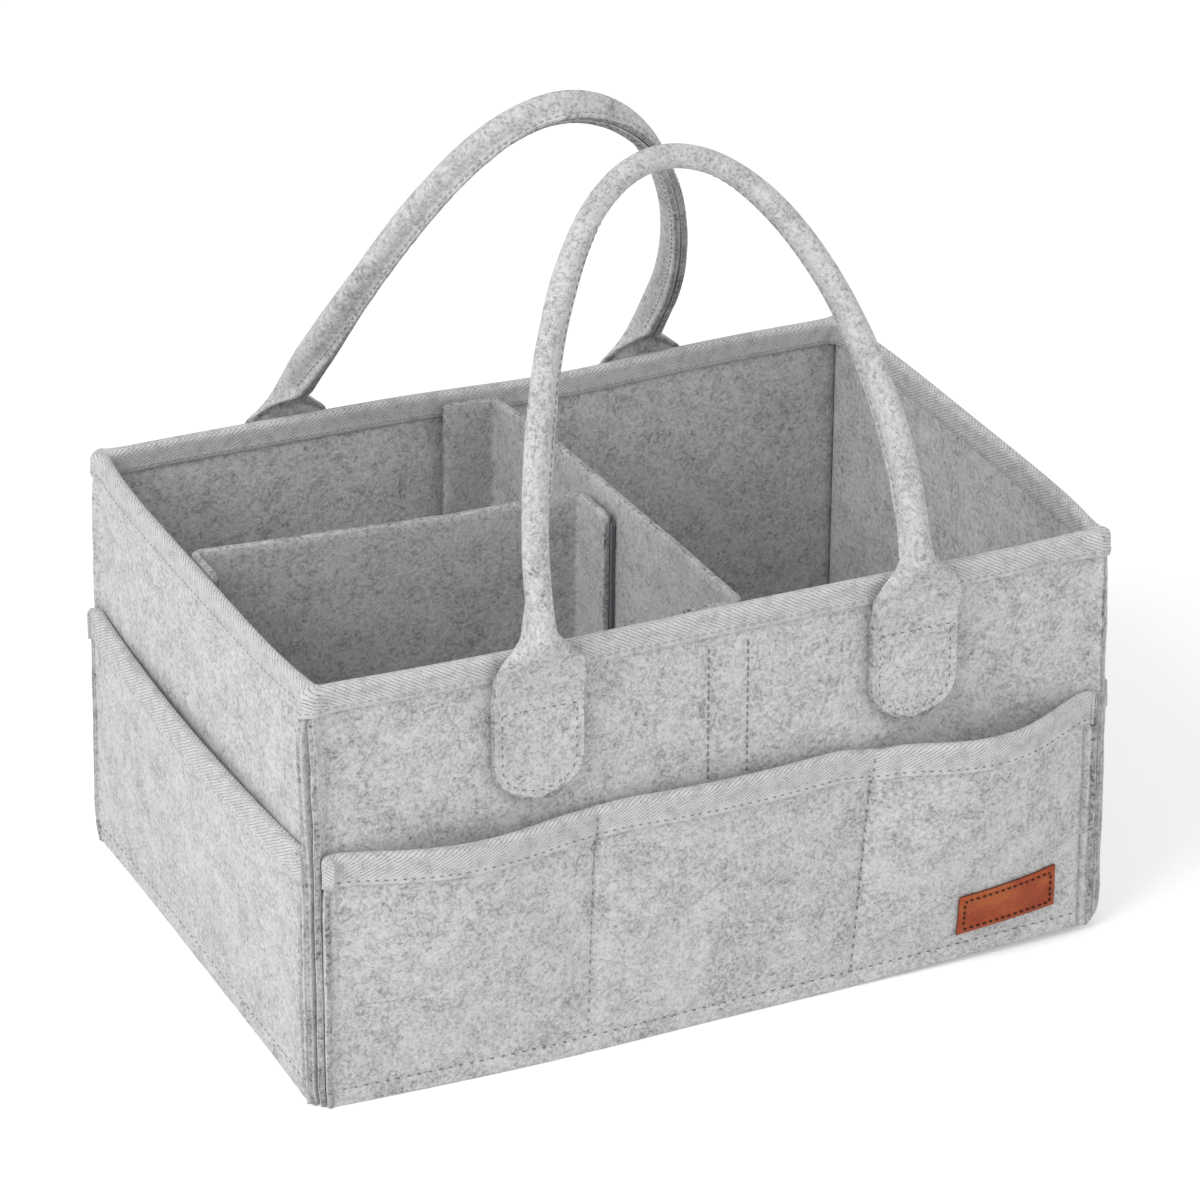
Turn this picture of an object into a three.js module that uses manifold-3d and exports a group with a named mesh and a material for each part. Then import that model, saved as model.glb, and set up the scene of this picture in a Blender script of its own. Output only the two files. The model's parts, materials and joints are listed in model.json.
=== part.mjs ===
// Felt caddy for nursery supplies: a soft open box with sewn outside pockets, two roll handles and loose dividers.
// Millimetres, +Z up, -Y is the front long side, and the origin lies on the floor under the middle of the box.

import * as THREE from 'three';
import { mergeVertices } from 'three/addons/utils/BufferGeometryUtils.js';
import Module from 'manifold-3d';

const wasm = await Module();
wasm.setup();

// Driving dimensions of the box
const seam_tip_length = 342; // left to right over the raw tips of the corner seams
const seam_tip_depth = 232; // front to back over the same tips
const rim_height = 180; // floor to the top of the rim tape
const felt = 3; // thickness of every felt panel
const seam_allowance = 8; // inside corner to the raw edges of a corner seam
const bottom_seam_height = 8.5; // floor to the stitch line that holds the base
const snug = 0.3; // clearance between two layers that touch
const overrun = 5; // how far a cutting solid runs past what it cuts

// Driving dimensions of the tapes
const tape = 0.8; // thickness of the twill tape
const rim_band = 11; // height of the rim tape on each side of the wall
const pocket_band = 12; // height of the pocket tape on each side of the pocket
const rim_ease = 14; // length over which the rim tape leaves the wall to pass round a seam

// Driving dimensions of the outside pockets
const pocket_drop = 71; // rim to the pocket's top edge at its seams
const long_pocket_fullness_share = [0.56, 0.5, 1]; // fullness of the left, middle and right pocket
const pocket_fullness_depth = 16; // widest opening of the fullest long pocket
const end_pocket_fullness_depth = 7; // widest opening of an end pocket
const pocket_sag = 2; // how far a long pocket's edge drops at its middle
const pocket_divide_shares = [-0.16, 0.187]; // places of the two pocket stitch lines, of the seam tip length

// Driving dimensions of the handles
const handle_spread = 162; // leg to leg, between the tube's middles
const front_rise = 168; // hinge line to the top of the arch, along the handle
const back_rise = 171;
const hinge_rise = 10; // rim to the line where the tube bends against its tongues
const tube_radius = 4.8; // round part of the rolled felt
const seam_lip = 3.2; // how far the stitched raw edges stand off the round part
const seam_lip_half = 2.9; // half thickness of the two edges sewn together
const core_radius = 1.5; // cotton cord inside the roll
const front_shift = 1; // a handle's middle, right of the box's middle as seen from its own side
const back_shift = 4;
const front_lean = [15.5, 32]; // degrees towards the middle, at the hinge line and at the top
const back_lean = [45, 18];
const front_twist = 1.5; // degrees that the arch turns about its upright
const back_twist = 2.5;
const front_narrow_share = 0.03; // how much the arch draws in across, towards its top
const back_narrow_share = 0;
const lip_turn = 45; // degrees that the raw edges turn, from facing into the box, towards the arch's inside
const lip_turn_share = 0.12; // the part of the arch, from each foot, over which they turn

// Driving dimensions of the tongues that the handles end in
const tongue_width = 38;
const tongue_pocket_gap = 4; // pocket's top edge to the tongue's round end
const tongue_round = 16; // height of the round end
const tongue_free_length = 24; // rim to the stitch line where the tongue leaves the wall
const tongue_neck_width = 13; // width where the tongue has curled to the tube's form
const tongue_neck_depth = 8.5; // how far the curled neck stands off the wall

// Driving dimensions of the dividers and their fastening strips
const cross_divider_drop = 3; // rim to the cross divider's top edge
const long_divider_drop = 9; // rim to the lengthwise divider's top edge by the cross divider
const long_divider_rise = 6; // how much higher its end at the box wall stands
const cross_divider_front = 12; // place of the cross divider at the front wall, right of the middle
const cross_divider_back = 4; // place at the back wall
const long_divider_place = 18; // place of the lengthwise divider, behind the middle
const flap_width = 24; // folded ends of the dividers
const fold_radius = 4; // middle of the felt in a fold
const strip_width = 20; // hook and loop strips
const strip_bottom = 40; // floor to the strips' lower end
const strip_drop = 14; // rim to the strips' upper end
const strip = 1.2; // thickness of a hook strip and of a loop strip
const wall_strip_place = 4; // middle of the front and back walls' loop strips, right of the middle
const end_strip_setback = 13; // middle of the end wall's loop strip, in front of the lengthwise divider

// Driving dimensions of the leather label
const label_width = 45.5;
const label_height = 19.5;
const label_thickness = 1.6;
const label_place_share = 0.375; // label's middle, right of the box's middle, of the seam tip length
const label_middle_height = 23.5;

// Counts of facets
const bulge_steps = 8;
const tube_steps = 40;
const tube_sides = 12;
const core_sides = 10;
const fold_steps = 4;
const tongue_columns = 10;
const rim_steps = 5;

// Sizes worked out from the driving dimensions
const half_turn = Math.PI;
const quarter_turn = Math.PI / 2;
const root_two = Math.SQRT2;
const inner_half_length = (seam_tip_length / 2) - (seam_allowance / root_two);
const inner_half_depth = (seam_tip_depth / 2) - (seam_allowance / root_two);
const wall_top = rim_height - tape - snug;
const floor_top = bottom_seam_height + felt;
const pocket_height = rim_height - pocket_drop;
const tape_layer = snug + tape;
const pocket_seat_top = snug + tape + snug;
const tongue_back = snug + tape + snug; // the tongue's back face, out from the wall's outer face
const tube_reach = tube_radius + seam_lip;
const hinge_reach = inner_half_depth + felt + tongue_back + tube_radius; // box middle to the hinge line
const hinge_height = rim_height + hinge_rise;
const tongue_bottom = pocket_height + tongue_pocket_gap;
const tongue_flat_top = rim_height - tongue_free_length;
const strip_height = rim_height - strip_drop - strip_bottom;
const label_place = label_place_share * seam_tip_length;
const strip_stack = snug + strip + snug + strip + snug; // felt wall to the face of a divider's flap
const radians = THREE.MathUtils.degToRad;
const lerp = THREE.MathUtils.lerp;

// Materials, one for each mesh, in the colours of the real finishes
const felt_colour = 0xbcbdbf;
const felt_inner_colour = 0xa9aaac;
const tape_colour = 0xb3b4b6;
const cord_colour = 0xe8e4da;
const leather_colour = 0xb0643d;
const loop_colour = 0x9b9c9f;
const hook_colour = 0x8d8e92;
const felt_roughness = 0.95;
const tape_roughness = 0.85;
const leather_roughness = 0.6;

const caddy = new THREE.Group();

function add_mesh(parent, name, geometry, colour, roughness) {
  const material = new THREE.MeshStandardMaterial({ color: colour, roughness, metalness: 0 });
  const mesh = new THREE.Mesh(geometry, material);
  mesh.name = name;
  parent.add(mesh);
  return mesh;
}

// Turns a list of points and faces into a geometry whose faces look outwards.
function closed_geometry(points, faces) {
  let volume = 0;
  for (const [a, b, c] of faces) {
    volume += points[a].dot(new THREE.Vector3().crossVectors(points[b], points[c]));
  }
  const turned = volume < 0 ? faces.map(([a, b, c]) => [a, c, b]) : faces;
  const geometry = new THREE.BufferGeometry();
  const values = points.flatMap((point) => [point.x, point.y, point.z]);
  geometry.setAttribute('position', new THREE.Float32BufferAttribute(values, 3));
  geometry.setIndex(turned.flat());
  geometry.computeVertexNormals();
  return geometry;
}

// A sheet between two grids of points with equal counts. A sheet that is closed runs round in its columns, as a sleeve.
function sheet_geometry(face_rows, back_rows, closed = false) {
  const rows = face_rows.length;
  const columns = face_rows[0].length;
  const points = [...face_rows.flat(), ...back_rows.flat()];
  const faces = [];
  const spot = (side, row, column) => (side * rows * columns) + (row * columns) + (column % columns);
  const quad = (a, b, c, d) => faces.push([a, b, c], [a, c, d]);
  const last_column = closed ? columns : columns - 1;
  for (let row = 0; row < rows - 1; row += 1) {
    for (let column = 0; column < last_column; column += 1) {
      quad(spot(0, row, column), spot(0, row, column + 1), spot(0, row + 1, column + 1), spot(0, row + 1, column));
      quad(spot(1, row, column), spot(1, row + 1, column), spot(1, row + 1, column + 1), spot(1, row, column + 1));
    }
    if (!closed) {
      const end = columns - 1;
      quad(spot(0, row, 0), spot(0, row + 1, 0), spot(1, row + 1, 0), spot(1, row, 0));
      quad(spot(0, row, end), spot(1, row, end), spot(1, row + 1, end), spot(0, row + 1, end));
    }
  }
  const top = rows - 1;
  for (let column = 0; column < last_column; column += 1) {
    quad(spot(0, 0, column), spot(1, 0, column), spot(1, 0, column + 1), spot(0, 0, column + 1));
    quad(spot(0, top, column), spot(0, top, column + 1), spot(1, top, column + 1), spot(1, top, column));
  }
  return closed_geometry(points, faces);
}

// A solid rod through rings of points, with a point at the middle of each end.
function rod_geometry(rings, first_middle, last_middle) {
  const sides = rings[0].length;
  const points = [...rings.flat(), first_middle, last_middle];
  const first = points.length - 2;
  const last = points.length - 1;
  const faces = [];
  for (let ring = 0; ring < rings.length - 1; ring += 1) {
    for (let side = 0; side < sides; side += 1) {
      const next = (side + 1) % sides;
      const here = ring * sides;
      const there = here + sides;
      faces.push([here + side, here + next, there + next], [here + side, there + next, there + side]);
    }
  }
  const end = (rings.length - 1) * sides;
  for (let side = 0; side < sides; side += 1) {
    const next = (side + 1) % sides;
    faces.push([first, next, side], [last, end + side, end + next]);
  }
  return closed_geometry(points, faces);
}

function to_manifold(geometry) {
  const bare = geometry.clone();
  bare.deleteAttribute('normal');
  bare.deleteAttribute('uv');
  const merged = mergeVertices(bare);
  const vertProperties = new Float32Array(merged.attributes.position.array);
  const triVerts = new Uint32Array(merged.index.array);
  return new wasm.Manifold(new wasm.Mesh({ numProp: 3, vertProperties, triVerts }));
}

function from_manifold(solid) {
  const mesh = solid.getMesh();
  const geometry = new THREE.BufferGeometry();
  geometry.setAttribute('position', new THREE.BufferAttribute(new Float32Array(mesh.vertProperties), 3));
  geometry.setIndex(Array.from(mesh.triVerts));
  geometry.computeVertexNormals();
  return geometry;
}

// A flat outline with an optional hole, standing from one height to another.
function standing_geometry(shape, bottom, top) {
  const geometry = new THREE.ExtrudeGeometry(shape, { depth: top - bottom, bevelEnabled: false });
  geometry.translate(0, 0, bottom);
  return geometry;
}

// The four sides share one local frame: X runs along the wall, -Y points out of the box.
// Front and back have the long span, the ends have the short span.
const sides = {
  front: { turn: 0, half_span: inner_half_length, reach: inner_half_depth },
  right: { turn: quarter_turn, half_span: inner_half_depth, reach: inner_half_length },
  back: { turn: half_turn, half_span: inner_half_length, reach: inner_half_depth },
  left: { turn: -quarter_turn, half_span: inner_half_depth, reach: inner_half_length },
};

function side_group(side) {
  const group = new THREE.Group();
  group.rotation.z = side.turn;
  caddy.add(group);
  return group;
}

// A corner seam pinches the layers together along the corner's diagonal. This gives the bend of a face that lies
// so far off the diagonal, and so far out from the box's inside face, and the tip of the same face.
function seam_bend(side, off_diagonal, out) {
  return side.half_span - (root_two * off_diagonal) + out;
}

function seam_tip(side, off_diagonal) {
  const along = side.half_span + ((seam_allowance - off_diagonal) / root_two);
  const out = (seam_allowance + off_diagonal) / root_two;
  return { along, out };
}

// The row of points of one face of a wall or pocket panel: seam tip, bend, face, bend, seam tip.
function panel_row(side, off_diagonal, out, height, middle_points) {
  const tip = seam_tip(side, off_diagonal);
  const bend = seam_bend(side, off_diagonal, out);
  const point = (x, y, z) => new THREE.Vector3(x, -(side.reach + y), z);
  return [
    point(-tip.along, tip.out, height),
    point(-bend, out, height),
    ...middle_points.map(([x, y, z]) => point(x, y, z)),
    point(bend, out, height),
    point(tip.along, tip.out, height),
  ];
}

// Walls: four felt panels, sewn to each other with the seam edges outside.
const wall_off = snug / 2;
for (const [name, wall] of Object.entries({ front_wall: 'front', back_wall: 'back', left_end_wall: 'left',
  right_end_wall: 'right' })) {
  const side = sides[wall];
  const heights = [0, wall_top];
  const inner = heights.map((height) => panel_row(side, wall_off, 0, height, []));
  const outer = heights.map((height) => panel_row(side, wall_off + felt, felt, height, []));
  add_mesh(side_group(side), name, sheet_geometry(outer, inner), felt_colour, felt_roughness);
}

// Base: a felt panel whose edges turn down inside the walls and are sewn through them.
function rectangle_shape(half_length, half_depth) {
  const shape = new THREE.Shape();
  shape.moveTo(-half_length, -half_depth);
  shape.lineTo(half_length, -half_depth);
  shape.lineTo(half_length, half_depth);
  shape.lineTo(-half_length, half_depth);
  shape.closePath();
  return shape;
}

const base_half_length = inner_half_length - snug;
const base_half_depth = inner_half_depth - snug;
const base_block = standing_geometry(rectangle_shape(base_half_length, base_half_depth), 0, floor_top);
const base_hollow = standing_geometry(
  rectangle_shape(base_half_length - felt, base_half_depth - felt),
  -overrun,
  bottom_seam_height,
);
const base_solid = to_manifold(base_block).subtract(to_manifold(base_hollow));
add_mesh(caddy, 'base_panel', from_manifold(base_solid), felt_colour, felt_roughness);

// Outside pockets: a felt strip over each wall, caught in the corner seams and the bottom seam.
// Each pocket stands open by its fullness, most at the middle of its top edge.
const pocket_off = wall_off + felt + snug;

function long_pockets() {
  const edge = inner_half_length;
  const stitches = [-edge, ...pocket_divide_shares.map((share) => share * seam_tip_length), edge];
  return stitches.slice(1).map((end, number) => ({
    start: stitches[number],
    end,
    fullness: pocket_fullness_depth * long_pocket_fullness_share[number],
    sag: pocket_sag,
  }));
}

function end_pockets() {
  return [{ start: -inner_half_depth, end: inner_half_depth, fullness: end_pocket_fullness_depth, sag: 0 }];
}

// How far the pocket stands off the wall, and its height, at a place along it and a share of its height.
function pocket_spot(pockets, along, height_share) {
  const pocket = pockets.find(({ start, end }) => along >= start && along <= end);
  const share = (along - pocket.start) / (pocket.end - pocket.start);
  const swell = Math.sin(half_turn * share);
  const seat = lerp(snug, pocket_seat_top, height_share);
  const gap = seat + (pocket.fullness * swell * Math.sin(quarter_turn * height_share));
  const height = lerp(bottom_seam_height, pocket_height - (pocket.sag * swell), height_share);
  return { gap, height };
}

// Places along the pocket where its columns of points stand, the tape's two ends first and last.
function pocket_places(side, pockets) {
  const tape_end = seam_bend(side, pocket_off + felt, felt + pocket_seat_top + felt) - (2 * tape_layer);
  const places = [];
  for (const { start, end } of pockets) {
    const first = Math.max(start, -tape_end);
    const last = Math.min(end, tape_end);
    for (let step = 0; step < bulge_steps; step += 1) {
      places.push(lerp(first, last, step / bulge_steps));
    }
  }
  places.push(tape_end);
  return places;
}

const band_share = 1 - (pocket_band / (pocket_height - bottom_seam_height));
const pocket_height_shares = [0, band_share / 4, band_share / 2, band_share, 1];

function pocket_geometry(side, pockets, places) {
  const face_rows = (extra) => {
    const off = pocket_off + extra;
    const flat = panel_row(side, off, felt + snug + extra, 0, places.map((x) => [x, felt + snug + extra, 0]));
    const swollen = pocket_height_shares.map((share) => {
      const middle = places.map((x) => {
        const { gap, height } = pocket_spot(pockets, x, share);
        return [x, felt + gap + extra, height];
      });
      const seat = lerp(snug, pocket_seat_top, share);
      const height = lerp(bottom_seam_height, pocket_height, share);
      return panel_row(side, off, felt + seat + extra, height, middle);
    });
    return [flat, ...swollen];
  };
  return sheet_geometry(face_rows(felt), face_rows(0));
}

// Pocket tape: folded over the pocket's top edge, from seam to seam.
function pocket_tape_geometry(side, pockets, places) {
  const outside = [];
  const inside = [];
  const point = (x, y, z) => new THREE.Vector3(x, -(side.reach + y), z);
  for (const x of places) {
    const low = pocket_spot(pockets, x, band_share);
    const high = pocket_spot(pockets, x, 1);
    const ring = (extra) => [
      point(x, felt + low.gap + felt + extra, low.height),
      point(x, felt + high.gap + felt + extra, high.height + extra),
      point(x, felt + high.gap - extra, high.height + extra),
      point(x, felt + low.gap - extra, low.height),
    ];
    outside.push(ring(tape_layer));
    inside.push(ring(snug));
  }
  return sheet_geometry(outside, inside);
}

const pocket_panels = {
  front: long_pockets(),
  back: long_pockets(),
  left: end_pockets(),
  right: end_pockets(),
};
for (const [name, pockets] of Object.entries(pocket_panels)) {
  const side = sides[name];
  const places = pocket_places(side, pockets);
  const group = side_group(side);
  const panel = pocket_geometry(side, pockets, places);
  const binding = pocket_tape_geometry(side, pockets, places);
  add_mesh(group, `${name}_pocket_panel`, panel, felt_colour, felt_roughness);
  add_mesh(group, `${name}_pocket_binding`, binding, tape_colour, tape_roughness);
}

// Rim tape: one tape folded over the top edge of all four walls, eased round the tips of the corner seams.
function rim_outline(offset) {
  const face_x = inner_half_length + felt + offset;
  const face_y = inner_half_depth + felt + offset;
  const tip_spread = wall_off + felt + offset;
  const tip_out = seam_allowance + offset;
  const corner_x = inner_half_length;
  const corner_y = inner_half_depth;
  const tip_far = (tip_out + tip_spread) / root_two;
  const tip_near = (tip_out - tip_spread) / root_two;
  const bend = felt + offset - (root_two * tip_spread);
  const shape = new THREE.Shape();
  const corners = [[1, -1], [1, 1], [-1, 1], [-1, -1]];
  shape.moveTo(-corner_x + rim_ease, -face_y);
  corners.forEach(([along, across], number) => {
    const runs_along_x = number % 2 === 0;
    const from_x = [corner_x - rim_ease, face_y];
    const via_x = [corner_x + bend, face_y];
    const tip_x = [corner_x + tip_near, corner_y + tip_far];
    const from_y = [face_x, corner_y - rim_ease];
    const via_y = [face_x, corner_y + bend];
    const tip_y = [corner_x + tip_far, corner_y + tip_near];
    const path = [from_x, via_x, tip_x, tip_y, via_y, from_y];
    const ordered = runs_along_x ? path : path.reverse();
    const [start, via, tip, other_tip, other_via, finish] = ordered.map(([x, y]) => [x * along, y * across]);
    shape.lineTo(...start);
    shape.quadraticCurveTo(...via, ...tip);
    shape.lineTo(...other_tip);
    shape.quadraticCurveTo(...other_via, ...finish);
  });
  shape.closePath();
  return new THREE.Shape(shape.getPoints(rim_steps));
}

function ring_geometry(outer, half_length, half_depth, bottom, top) {
  const ring = outer.clone();
  ring.holes = [rectangle_shape(half_length, half_depth)];
  return standing_geometry(ring, bottom, top);
}

const rim_bottom = rim_height - rim_band;
const rim_tape_block = ring_geometry(
  rim_outline(tape_layer),
  inner_half_length - tape_layer,
  inner_half_depth - tape_layer,
  rim_bottom,
  rim_height,
);
const rim_tape_slot = ring_geometry(
  rim_outline(snug),
  inner_half_length - snug,
  inner_half_depth - snug,
  rim_bottom - overrun,
  rim_height - tape,
);
const rim_tape_solid = to_manifold(rim_tape_block).subtract(to_manifold(rim_tape_slot));
add_mesh(caddy, 'rim_binding_tape', from_manifold(rim_tape_solid), tape_colour, tape_roughness);

// Handle tongues: the ends of the rolled handles, opened out flat, rounded and sewn on over the rim tape.
// Towards the top the tongue narrows and curls to the form of the tube.
const neck_top = hinge_height - tube_reach - snug;
const tongue_face = inner_half_depth + felt + tongue_back + (felt / 2);

function tongue_row(height) {
  const curl = THREE.MathUtils.smoothstep(height, tongue_flat_top, neck_top);
  const below = Math.max(0, tongue_bottom + tongue_round - height) / tongue_round;
  const round = Math.sqrt(1 - (below * below));
  const half_width = (lerp(tongue_width, tongue_neck_width, curl) / 2) * round;
  const depth = tongue_neck_depth * curl;
  const out = tongue_face - ((felt / 2) * curl);
  return { half_width, depth, out };
}

function tongue_geometry(middle) {
  const round_shares = [0.06, 0.2, 0.5, 1];
  const flat_shares = [1];
  const curl_shares = [0.2, 0.4, 0.6, 0.8, 1];
  const round_top = tongue_bottom + tongue_round;
  const heights = [
    ...round_shares.map((share) => lerp(tongue_bottom, round_top, share)),
    ...flat_shares.map((share) => lerp(round_top, tongue_flat_top, share)),
    ...curl_shares.map((share) => lerp(tongue_flat_top, neck_top, share)),
  ];
  const faces = [];
  const backs = [];
  for (const height of heights) {
    const { half_width, depth, out } = tongue_row(height);
    const middle_line = [];
    for (let column = 0; column <= tongue_columns; column += 1) {
      const angle = half_turn * (column / tongue_columns);
      middle_line.push(new THREE.Vector2(-half_width * Math.cos(angle), depth * Math.sin(angle)));
    }
    const offset_line = (distance) => offset_path(middle_line, distance).map(
      (spot) => new THREE.Vector3(middle + spot.x, -(out + spot.y), height),
    );
    faces.push(offset_line(felt / 2));
    backs.push(offset_line(-felt / 2));
  }
  return sheet_geometry(faces, backs);
}

// Moves each point of a flat path sideways, to the left of its direction for a positive distance.
function offset_path(path, distance) {
  return path.map((point, number) => {
    const before = path[Math.max(0, number - 1)];
    const after = path[Math.min(path.length - 1, number + 1)];
    const run = after.clone().sub(before).normalize();
    return new THREE.Vector2(point.x - (run.y * distance), point.y + (run.x * distance));
  });
}

const handle_sides = {
  front: {
    side: sides.front,
    shift: front_shift,
    rise: front_rise,
    lean: front_lean,
    twist: front_twist,
    narrow: front_narrow_share,
  },
  back: {
    side: sides.back,
    shift: back_shift,
    rise: back_rise,
    lean: back_lean,
    twist: back_twist,
    narrow: back_narrow_share,
  },
};
for (const [name, handle] of Object.entries(handle_sides)) {
  const group = side_group(handle.side);
  const left = name === 'front' ? -1 : 1;
  for (const [hand, way] of [['left', left], ['right', -left]]) {
    const geometry = tongue_geometry(handle.shift + (way * handle_spread / 2));
    add_mesh(group, `${name}_handle_${hand}_tongue`, geometry, felt_colour, felt_roughness);
  }
}

// Handle tubes: felt rolled round a cotton cord, its two raw edges stitched together on the inner side.
// The arch is half an ellipse that leans over the box, more or less steeply from its hinge line to its top.
class HandleArch extends THREE.Curve {
  constructor(handle) {
    super();
    this.handle = handle;
  }

  getPoint(share, target = new THREE.Vector3()) {
    const angle = half_turn * share;
    const up_share = Math.sin(angle);
    const across = -(handle_spread / 2) * Math.cos(angle) * (1 - (this.handle.narrow * up_share));
    const { out, height } = this.leaning(up_share);
    const turn = Math.sin(radians(this.handle.twist)) * up_share * across;
    return target.set(this.handle.shift + across, -out + turn, height);
  }

  // Adds up short runs of the handle, each at its own lean.
  leaning(up_share) {
    const runs = 24;
    const run = (this.handle.rise * up_share) / runs;
    let out = hinge_reach;
    let height = hinge_height;
    for (let number = 0; number < runs; number += 1) {
      const here = up_share * ((number + 0.5) / runs);
      const lean = radians(lerp(this.handle.lean[0], this.handle.lean[1], here));
      out -= run * Math.sin(lean);
      height += run * Math.cos(lean);
    }
    return { out, height };
  }
}

// A ring of points round the arch. Its first direction is the raw edges': at a foot it looks into the box,
// and higher up it has turned towards the arch's inside. Its second lies across the tube.
function tube_ring(arch, share, outline, end_radius) {
  const middle = arch.getPoint(share);
  const tangent = arch.getTangent(share);
  const inward = new THREE.Vector3(0, 1, 0);
  inward.addScaledVector(tangent, -inward.dot(tangent)).normalize();
  const across = new THREE.Vector3().crossVectors(tangent, inward);
  const from_foot = Math.min(share, 1 - share) / lip_turn_share;
  inward.applyAxisAngle(tangent, -radians(lip_turn) * THREE.MathUtils.smoothstep(from_foot, 0, 1));
  across.crossVectors(tangent, inward);
  const end_way = share === 0 ? -1 : 1;
  return outline.map(([into, along]) => {
    const point = middle.clone().addScaledVector(inward, into).addScaledVector(across, along);
    const drop = end_radius > 0 ? Math.sqrt(Math.max(0, (end_radius * end_radius) - (into * into))) : 0;
    return point.addScaledVector(tangent, end_way * drop);
  });
}

function tube_rings(arch, outline, end_radius) {
  const rings = [tube_ring(arch, 0, outline, end_radius)];
  for (let step = 1; step < tube_steps; step += 1) {
    rings.push(tube_ring(arch, step / tube_steps, outline, 0));
  }
  rings.push(tube_ring(arch, 1, outline, end_radius));
  return rings;
}

function circle_outline(radius, count) {
  return Array.from({ length: count }, (unused, number) => {
    const angle = 2 * half_turn * ((number + 0.5) / count);
    return [radius * Math.cos(angle), radius * Math.sin(angle)];
  });
}

// The roll's outside: a round back, drawn out to the two raw edges that are stitched together.
function roll_outline() {
  const outline = circle_outline(tube_radius, tube_sides);
  outline[0] = [tube_reach, seam_lip_half];
  outline[tube_sides - 1] = [tube_reach, -seam_lip_half];
  return outline;
}

for (const [name, handle] of Object.entries(handle_sides)) {
  const arch = new HandleArch(handle);
  const group = side_group(handle.side);
  const outer = tube_rings(arch, roll_outline(), tube_reach);
  const bore = tube_rings(arch, circle_outline(core_radius + snug, tube_sides), tube_reach);
  add_mesh(group, `${name}_handle_tube`, sheet_geometry(outer, bore, true), felt_colour, felt_roughness);
  const core = tube_rings(arch, circle_outline(core_radius, core_sides), 0);
  const core_geometry = rod_geometry(core, arch.getPoint(0), arch.getPoint(1));
  add_mesh(group, `${name}_handle_core`, core_geometry, cord_colour, tape_roughness);
}

// Leather label: a blank patch sewn low on the right front pocket, following the pocket's swell.
const label_columns = 6;
const label_rows = 3;

function label_grid(out) {
  const rows = [];
  for (let row = 0; row <= label_rows; row += 1) {
    const height = label_middle_height + (label_height * ((row / label_rows) - 0.5));
    const height_share = (height - bottom_seam_height) / (pocket_height - bottom_seam_height);
    const points = [];
    for (let column = 0; column <= label_columns; column += 1) {
      const x = label_place + (label_width * ((column / label_columns) - 0.5));
      const { gap } = pocket_spot(pocket_panels.front, x, height_share);
      points.push(new THREE.Vector3(x, -(inner_half_depth + felt + gap + felt + out), height));
    }
    rows.push(points);
  }
  return rows;
}

const label_geometry = sheet_geometry(label_grid(snug + label_thickness), label_grid(snug));
add_mesh(caddy, 'leather_label', label_geometry, leather_colour, leather_roughness);

// Dividers: loose felt panels with folded ends. Hook strips on the ends grip loop strips sewn to the walls.
function folded_path(points) {
  const path = [points[0]];
  for (let number = 1; number < points.length - 1; number += 1) {
    const corner = points[number];
    const in_way = corner.clone().sub(points[number - 1]).normalize();
    const out_way = points[number + 1].clone().sub(corner).normalize();
    const start = corner.clone().addScaledVector(in_way, -fold_radius);
    const finish = corner.clone().addScaledVector(out_way, fold_radius);
    const fold = new THREE.QuadraticBezierCurve(start, corner, finish);
    path.push(...fold.getPoints(fold_steps));
  }
  path.push(points[points.length - 1]);
  return path;
}

function divider_geometry(points, top_of) {
  const path = folded_path(points);
  const row = (distance, height_of) => offset_path(path, distance).map(
    (point, number) => new THREE.Vector3(point.x, point.y, height_of(path[number])),
  );
  const bottom_of = () => floor_top + snug;
  const rows = (distance) => [row(distance, bottom_of), row(distance, top_of)];
  return sheet_geometry(rows(felt / 2), rows(-felt / 2));
}

const flap_reach = strip_stack + (felt / 2); // wall face to the middle of a flap
const cross_back = new THREE.Vector2(cross_divider_back, inner_half_depth - flap_reach);
const cross_front = new THREE.Vector2(cross_divider_front, -(inner_half_depth - flap_reach));
const cross_run = cross_front.clone().sub(cross_back).normalize();
const cross_left = new THREE.Vector2(cross_run.y, -cross_run.x);
const cross_top = rim_height - cross_divider_drop;
const cross_points = [
  new THREE.Vector2(cross_back.x - flap_width, cross_back.y),
  cross_back,
  cross_front,
  new THREE.Vector2(cross_front.x - flap_width, cross_front.y),
];
const cross_geometry = divider_geometry(cross_points, () => cross_top);
add_mesh(caddy, 'cross_divider', cross_geometry, felt_inner_colour, felt_roughness);

const long_left = new THREE.Vector2(-(inner_half_length - flap_reach), long_divider_place);
const meeting = cross_back.clone().addScaledVector(cross_run, (cross_back.y - long_divider_place) / -cross_run.y);
const long_right = meeting.clone().addScaledVector(cross_left, (felt / 2) + flap_reach);
const long_top = rim_height - long_divider_drop;
const long_points = [
  new THREE.Vector2(long_left.x, long_left.y - flap_width),
  long_left,
  long_right,
  long_right.clone().addScaledVector(cross_run, flap_width),
];
const long_geometry = divider_geometry(long_points, (point) => {
  const share = THREE.MathUtils.clamp((long_right.x - point.x) / (long_right.x - long_left.x), 0, 1);
  return long_top + (long_divider_rise * share * share);
});
add_mesh(caddy, 'lengthwise_divider', long_geometry, felt_inner_colour, felt_roughness);

// Hook and loop strips: flat strips, the loops sewn to the felt wall and the hooks sewn to the divider's flap.
const strip_middle_height = strip_bottom + (strip_height / 2);

function add_strip(name, colour, face_point, face_way, layer) {
  const geometry = new THREE.BoxGeometry(strip_width, strip, strip_height);
  const mesh = add_mesh(caddy, name, geometry, colour, felt_roughness);
  const off = snug + (strip / 2) + (layer * (strip + snug));
  mesh.position.set(face_point.x + (face_way.x * off), face_point.y + (face_way.y * off), strip_middle_height);
  mesh.rotation.z = Math.atan2(face_way.y, face_way.x) - quarter_turn;
}

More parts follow.
